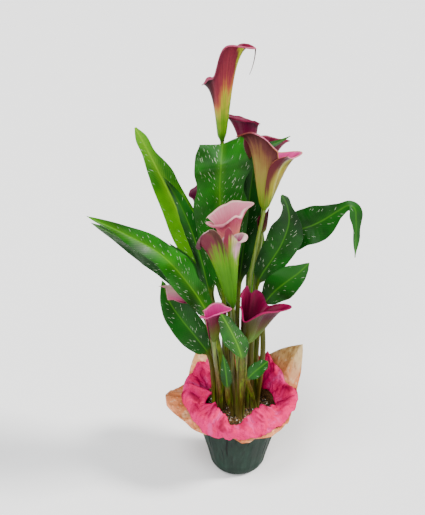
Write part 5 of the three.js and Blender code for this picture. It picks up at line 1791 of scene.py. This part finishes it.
@dataclass(frozen=True)
class Collar:
    """One sheet of wrap round the rim. edge holds its free edge: angle from +X, radius and height in mm.

    crease is how far the folds stand out, slant how much they lean round, and rest how far they are moved
    off what lies under them, as a share of crease. Both sheets are tucked in at the heights tuck_z and
    rise past shoulder_z. The folds come in over free_height above the rim and free_reach past free_radius.
    """

    edge: tuple[Point, ...]
    thickness: float
    crease: float
    columns: int
    rows: int
    seed: int
    slant: float
    rest: float
    tuck_radius: float
    rim_radius: float
    tuck_z: float = 108.0
    shoulder_z: float = 121.0
    free_height: float = 7.0
    free_radius: float = 76.0
    free_reach: float = 8.0

    @staticmethod
    def along(table: tuple[Point, ...], degrees: Array) -> tuple[Array, Array]:
        """Radius and height of a folded edge at angles: straight from one point of its table to the next."""
        spots = np.array([*table, (360, *table[0][1:])], float)
        return np.interp(degrees, spots[:, 0], spots[:, 1]), np.interp(degrees, spots[:, 0], spots[:, 2])

    def degrees(self) -> Array:
        """The angles of the columns."""
        return np.linspace(0, 360, self.columns, endpoint=False)

    def facets(self, degrees: Array, wide: float, down: Array, number: int) -> Array:
        """Noise in flat facets so many degrees wide, which meets itself after a full turn."""
        return lattice_noise(degrees / wide, down, self.seed + number, True, round(360 / wide))

    def rise(self) -> list[tuple[Array, Array]]:
        """The section's first points, from the tuck up along the wall to the rim, all the way round."""
        flat, rim = np.zeros(self.columns), self.rim_radius
        spots = [(self.tuck_radius, self.tuck_z), (rim, self.shoulder_z), (rim, RIM_TOP)]
        return [(flat + radius, flat + height) for radius, height in spots]

    def crumple(self, degrees: Array) -> Array:
        """How much the edges rise or sink, -1 to 1: straight zigzags of two lengths."""
        return 0.7 * self.facets(degrees, 6, 0 * degrees, 5) + 0.3 * self.facets(degrees, 2.5, 0 * degrees, 6)

    def skin(self, line: list[tuple[Array, Array]]) -> Skin:
        """The sheet from its section's points round the pot, joined smoothly and then creased.

        The folds are facets of three widths, moved along the sheet's normal. The two wider ones drift
        round as they go down, each its own way.

        Args:
            line: radius and height of each point of the section, from the tuck to the free edge.

        Returns:
            The closed sheet, with "fold", -1 in a hollow to 1 on a crest.
        """
        knots = np.array(line, float).transpose(0, 2, 1)
        ends = np.concatenate([2 * knots[:1] - knots[1:2], knots, 2 * knots[-1:] - knots[-2:-1]])
        s = np.linspace(0, len(knots) - 1 - 1e-6, self.rows)
        i = np.floor(s).astype(int)
        path = cubic(*(ends[i + k] for k in range(4)), (s - i)[:, None, None])
        degrees = self.degrees()[None, :]
        along = np.linspace(0, 1, self.rows)[:, None]
        above = ease((path[..., 1] - RIM_TOP + 1) / self.free_height)
        free = np.minimum(above + ease((path[..., 0] - self.free_radius) / self.free_reach), 1)
        slope = np.gradient(path, axis=0)
        normal = np.stack([slope[..., 1], -slope[..., 0]], -1)
        normal = normal / np.maximum(np.linalg.norm(normal, axis=-1, keepdims=True), 1e-6)
        s = s[:, None]
        drift = s * self.slant
        long = self.facets(degrees + 9 * drift, 8, s * 0.8 + 9, 0)
        short = self.facets(degrees - 7 * drift, 4, s * 1.8 + 20, 1)
        fold = 0.56 * long + 0.3 * short + 0.14 * self.facets(degrees, 2, s * 5 + 31, 2)
        push = self.crease * free * (fold - self.rest * ease(along * 3 - 1))
        path = path + push[..., None] * normal
        angle = np.radians(degrees)
        faces = []
        for hand in (0.5, -0.5):
            spot = path + hand * self.thickness * normal
            radius, height = spot[..., 0], spot[..., 1]
            faces.append(np.stack([radius * np.cos(angle), radius * np.sin(angle), height], -1))
        return Skin.sheet(faces[0], faces[1], True, {"fold": fold})


COPPER_EDGE: tuple[Point, ...] = (
    (0, 101, 134), (8, 104, 136), (16, 112, 140), (21, 122, 166), (27, 129, 215), (33, 121, 207),
    (42, 108, 196), (50, 104, 184), (61, 97, 172), (78, 97, 166), (96, 98, 166), (108, 103, 174),
    (118, 104, 178), (133, 110, 187), (139, 108, 172), (147, 105, 152), (154, 106, 136), (163, 112, 138),
    (172, 121, 144), (181, 129, 146), (187, 127, 136), (196, 112, 124), (206, 104, 122), (213, 97, 114),
    (221, 95, 116), (229, 90, 112), (240, 84, 117), (252, 83, 119), (264, 84, 117), (273, 90, 112),
    (281, 91, 114), (288, 86, 116), (298, 88, 112), (306, 95, 117), (315, 96, 119), (324, 99, 126),
    (332, 98, 122), (341, 97, 130), (350, 99, 132),
)
TISSUE_EDGE: tuple[Point, ...] = (
    (0, 99, 150), (9, 92, 148), (19, 91, 150), (28, 88, 170), (40, 87, 178), (49, 84, 196), (58, 83, 179),
    (70, 85, 186), (82, 84, 176), (96, 85, 188), (110, 84, 176), (122, 87, 182), (134, 86, 172),
    (146, 90, 181), (156, 91, 166), (165, 96, 166), (178, 97, 160), (187, 98, 150), (195, 93, 137),
    (204, 92, 138), (213, 91, 124), (221, 89, 126), (229, 89, 117), (240, 88, 114), (249, 87, 117),
    (257, 86, 115), (266, 87, 120), (277, 88, 119), (288, 88, 122), (297, 88, 120), (307, 91, 124),
    (316, 92, 129), (324, 92, 126), (333, 97, 138), (341, 99, 136), (351, 104, 147),
)
TISSUE_CREST: tuple[Point, ...] = (
    (0, 66, 131), (18, 66, 133), (32, 64, 137), (45, 63, 131), (60, 63, 136), (80, 64, 143), (100, 65, 146),
    (120, 64, 142), (140, 64, 131), (152, 60, 135), (168, 53, 143), (179, 48, 149), (187, 58, 140),
    (194, 65, 134), (204, 59, 141), (216, 50, 151), (225, 54, 147), (240, 58, 150), (250, 61, 140),
    (257, 69, 131), (265, 66, 131), (273, 61, 132), (283, 60, 144), (298, 58, 150), (312, 58, 154),
    (328, 61, 146), (342, 64, 135), (352, 67, 130),
)


@dataclass(frozen=True)
class CopperFinish:
    """Satin copper paper that turns golden where it stands high, with painted shade in its creases and
    painted highlights on them.

    gold_fade holds the heights in metres between which it turns golden.
    """

    copper: str = "f49c60"
    light_copper: str = "ffb884"
    gold: str = "dcb070"
    light_gold: str = "f8dca0"
    shade: str = "a8683c"
    line: str = "b0784c"
    glint: str = "fff0cc"
    gold_fade: Span = (0.15, 0.2)

    def material(self) -> Material:
        """Makes the material, with upright creases finer than the mesh's. The mesh keeps "fold".

        Returns:
            The material.
        """
        paint = Paint("copper_sheet")
        cloud = paint.grain(34, 4)
        copper = paint.turning(cloud, self.copper, self.light_copper)
        gold = paint.turning(cloud, self.gold, self.light_gold)
        colour = paint.blend(paint.span(paint.height(), *self.gold_fade), copper, gold)
        fold = paint.trait("fold")
        colour = paint.tinted(colour, self.shade, fold, -0.6, -0.15, 0.6, 0)
        colour = paint.tinted(colour, self.glint, fold, 0.2, 0.5, 0, 0.3)
        crease = paint.grain(190, 3, stretch=(1, 1, 0.22))
        colour = paint.tinted(colour, self.line, crease, 0.52, 0.68, 0, 0.55)
        colour = paint.tinted(colour, self.glint, crease, 0.3, 0.44, 0.5, 0)
        paint.relief(paint.plus(paint.grain(240, 5, 0.65), crease), 0.002, 0.45)
        return paint.finish(colour, 0.42, specular=0.35, metal=0.15)


@dataclass(frozen=True)
class CopperSheet(Collar):
    """The copper-coloured sheet: up between tissue and cover, then out over the rim."""

    lip_reach: float = 3.2
    lip_rise: float = 1.6

    def build(self) -> None:
        """Makes the sheet."""
        degrees = self.degrees()
        fold = self.crumple(degrees)
        edge_r, edge_z = self.along(self.edge, degrees)
        flat = 0 * degrees
        lip_r, lip_z = self.rim_radius + self.lip_reach, RIM_TOP + self.lip_rise
        skin = self.skin([
            *self.rise(), (flat + lip_r, flat + lip_z),
            (mix(lip_r, edge_r, 0.5), mix(lip_z, edge_z, 0.55) + fold), (edge_r, edge_z + 1.5 * fold),
        ])
        skin.piece("copper_wrap", CopperFinish().material(), "copper_paper", "copper_collar")


@dataclass(frozen=True)
class TissueFinish:
    """Thin hot pink tissue: painted shade deep in its folds, a painted highlight pale on their crests, and
    crossed by fine dark creases.
    """

    pink: str = "ff0484"
    light: str = "ff2898"
    line: str = "b80458"
    shade: str = "a00448"
    # The colour of the painted highlight on the folds' crests.
    crest: str = "ff70bc"

    def material(self) -> Material:
        """Makes the material. A fine crease is drawn where a noise is near a half. The mesh keeps "fold".

        Returns:
            The material.
        """
        paint = Paint("tissue")
        colour = paint.turning(paint.grain(40, 4), self.pink, self.light)
        crease = paint.grain(95, 2, stretch=(1, 1, 0.6))
        colour = paint.tinted(colour, self.line, paint.apart(crease, 0.5), 0.0, 0.022, 0.5, 0)
        fold = paint.trait("fold")
        colour = paint.tinted(colour, self.shade, fold, -0.6, -0.15, 0.8, 0)
        # Painted highlight: paler pink on the crests of the folds.
        colour = paint.tinted(colour, self.crest, fold, 0.15, 0.5, 0, 0.6)
        paint.relief(paint.grain(260, 5, 0.65), 0.0022, 0.6)
        return paint.finish(colour, 0.7, specular=0.12)


@dataclass(frozen=True)
class TissueSheet(Collar):
    """The pink tissue: up beside the pot's lip, in to its crest, then out over the copper.

    crest is the line that it rises to before it turns out. Where the free edge is low, below low_z, it
    hangs over the rim, and where it is high it stands; between them it passes from one to the other.
    """

    crest: tuple[Point, ...] = TISSUE_CREST
    low_z: float = 115.0
    standing_rise: float = 60.0
    hanging_radius: float = 75.5
    hanging_z: float = 136.0

    def build(self) -> None:
        """Makes the sheet."""
        degrees = self.degrees()
        fold = self.crumple(degrees)
        edge_r, edge_z = self.along(self.edge, degrees)
        crest_r, crest_z = self.along(self.crest, degrees)
        high = ease((edge_z - self.low_z) / self.standing_rise)
        (in_r, in_z), (out_r, out_z) = (
            (mix(crest_r, edge_r, k), mix(crest_z, edge_z, k)) for k in (0.32, 0.7)
        )
        over = mix(self.hanging_z, crest_z, 0.45)
        skin = self.skin([
            *self.rise(), (crest_r, crest_z + 1.5 * fold),
            (mix(self.hanging_radius, in_r, high), mix(over, in_z + 3, high) + 2 * fold),
            (mix(edge_r - 3, out_r, high), mix(edge_z + 14, out_z + 3, high) + 2 * fold),
            (edge_r, edge_z + 4 * fold),
        ])
        skin.piece("tissue_wrap", TissueFinish().material(), "tissue_paper", "tissue_collar")


@dataclass(frozen=True)
class PlasticFinish:
    """The grower's pot: dark plastic, with mix clinging to its upper wall.

    soil_fade holds the heights in metres between which the mix on it comes in.
    """

    dark: str = "1d2723"
    light: str = "2a3731"
    soil: Stops = ((0.3, "3c2c1c"), (0.5, "745a38"), (0.68, "c0a070"))
    soil_fade: Span = (0.1, 0.112)

    def material(self) -> Material:
        """Makes the material.

        Returns:
            The material.
        """
        paint = Paint("grower_plastic")
        grain = paint.grain(600, 2)
        plastic = paint.turning(grain, self.dark, self.light, 0.35, 0.65)
        soiled = paint.ramp(paint.grain(240, 5, 0.7), self.soil)
        colour = paint.blend(paint.span(paint.height(), *self.soil_fade, 0, 0.95), plastic, soiled)
        paint.relief(grain, 0.0004, 0.4)
        return paint.finish(colour, 0.46)


def dress_inner_parts() -> None:
    """Finishes the solids that stay as they are: the tubers and the grower's pot."""
    tuber = TUBER_FINISH.material()
    kept = {"tuber_left": tuber, "tuber_centre": tuber, "tuber_right": tuber}
    kept["grower_pot"] = PlasticFinish().material()
    for node, made in kept.items():
        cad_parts[node].material_slots[0].material = made
        log.info("%s: its solid, with a finish", node)


@dataclass(frozen=True)
class Lamp:
    """A wide soft light: the way it comes from, how many degrees of sky it fills, its strength and colour."""

    name: str
    come_from: Point
    spread: float
    strength: float
    colour: Point

    def build(self) -> None:
        """Adds the light, in watts a square metre."""
        lamp = bpy.data.lights.new(self.name, "SUN")
        lamp.angle, lamp.energy, lamp.color = math.radians(self.spread), self.strength, self.colour
        made = bpy.data.objects.new(self.name, lamp)
        made.rotation_euler = Vector(self.come_from).to_track_quat("Z", "Y").to_euler()
        bpy.context.scene.collection.objects.link(made)


@dataclass(frozen=True)
class Studio:
    """The pale floor, the soft light and the camera. Lengths in metres, the lens and sensor in mm."""

    floor_reach: float = 6.0
    grey: float = 0.95
    white: float = 0.98
    sky: float = 0.4
    lamps: tuple[Lamp, ...] = (
        Lamp("key", (1.5, -0.05, 1.25), 13, 5.4, (1, 0.98, 0.95)),
        Lamp("top", (-0.25, -0.3, 1), 24, 2.3, (0.95, 0.98, 1)),
        Lamp("front", (-0.35, -1, 0.75), 30, 2.4, (1, 1, 1)),
    )
    eye: Point = (-0.04538, -1.2, 1.02426)
    tilt: float = 63.2
    lens: float = 58.084
    sensor: float = 36.0

    def floor(self) -> None:
        """Lays the floor, nearly white with faint clouds."""
        mesh = bpy.data.meshes.new("floor")
        reach = self.floor_reach
        spots = [(-reach, -reach, 0), (reach, -reach, 0), (reach, reach, 0), (-reach, reach, 0)]
        mesh.from_pydata(spots, [], [(0, 1, 2, 3)])
        paint = Paint("floor")
        grey, white = (self.grey, self.grey, self.grey, 1), (self.white, self.white, self.white, 1)
        pale = paint.blend(paint.grain(3, 2), grey, white)
        mesh.materials.append(paint.finish(pale, 0.9))
        floor = bpy.data.objects.new("floor", mesh)
        bpy.context.scene.collection.objects.link(floor)

    def light(self) -> None:
        """Adds an even white sky and the lamps."""
        world = bpy.data.worlds.new("studio")
        world.use_nodes = True
        background = world.node_tree.nodes["Background"]
        background.inputs["Color"].default_value = (1, 1, 1, 1)
        background.inputs["Strength"].default_value = self.sky
        bpy.context.scene.world = world
        for lamp in self.lamps:
            lamp.build()

    def camera(self) -> None:
        """Stands the camera in front of the plant, looking down on it."""
        camera = bpy.data.cameras.new("camera")
        camera.lens, camera.sensor_width = self.lens, self.sensor
        eye = bpy.data.objects.new("camera", camera)
        eye.location = self.eye
        eye.rotation_euler = (math.radians(self.tilt), 0, 0)
        bpy.context.scene.collection.objects.link(eye)
        bpy.context.scene.camera = eye

    def build(self) -> None:
        """Makes the floor, the lights and the camera."""
        self.floor()
        self.light()
        self.camera()


def main() -> None:
    """Makes every piece in order."""
    logging.basicConfig(level=logging.INFO, format="%(message)s")
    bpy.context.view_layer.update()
    Studio().build()
    Foliage().build()
    Flowers().build()
    Soil().build()
    Cover().build()
    CopperSheet(
        edge=COPPER_EDGE, thickness=0.7, crease=3.0, columns=520, rows=38, seed=31, slant=0.15, rest=0.0,
        tuck_radius=69.75, rim_radius=72.6,
    ).build()
    TissueSheet(
        edge=TISSUE_EDGE, thickness=0.6, crease=6.5, columns=600, rows=46, seed=41, slant=0.5, rest=0.35,
        tuck_radius=68.4, rim_radius=71.15,
    ).build()
    dress_inner_parts()


if __name__ == "__main__":
    main()
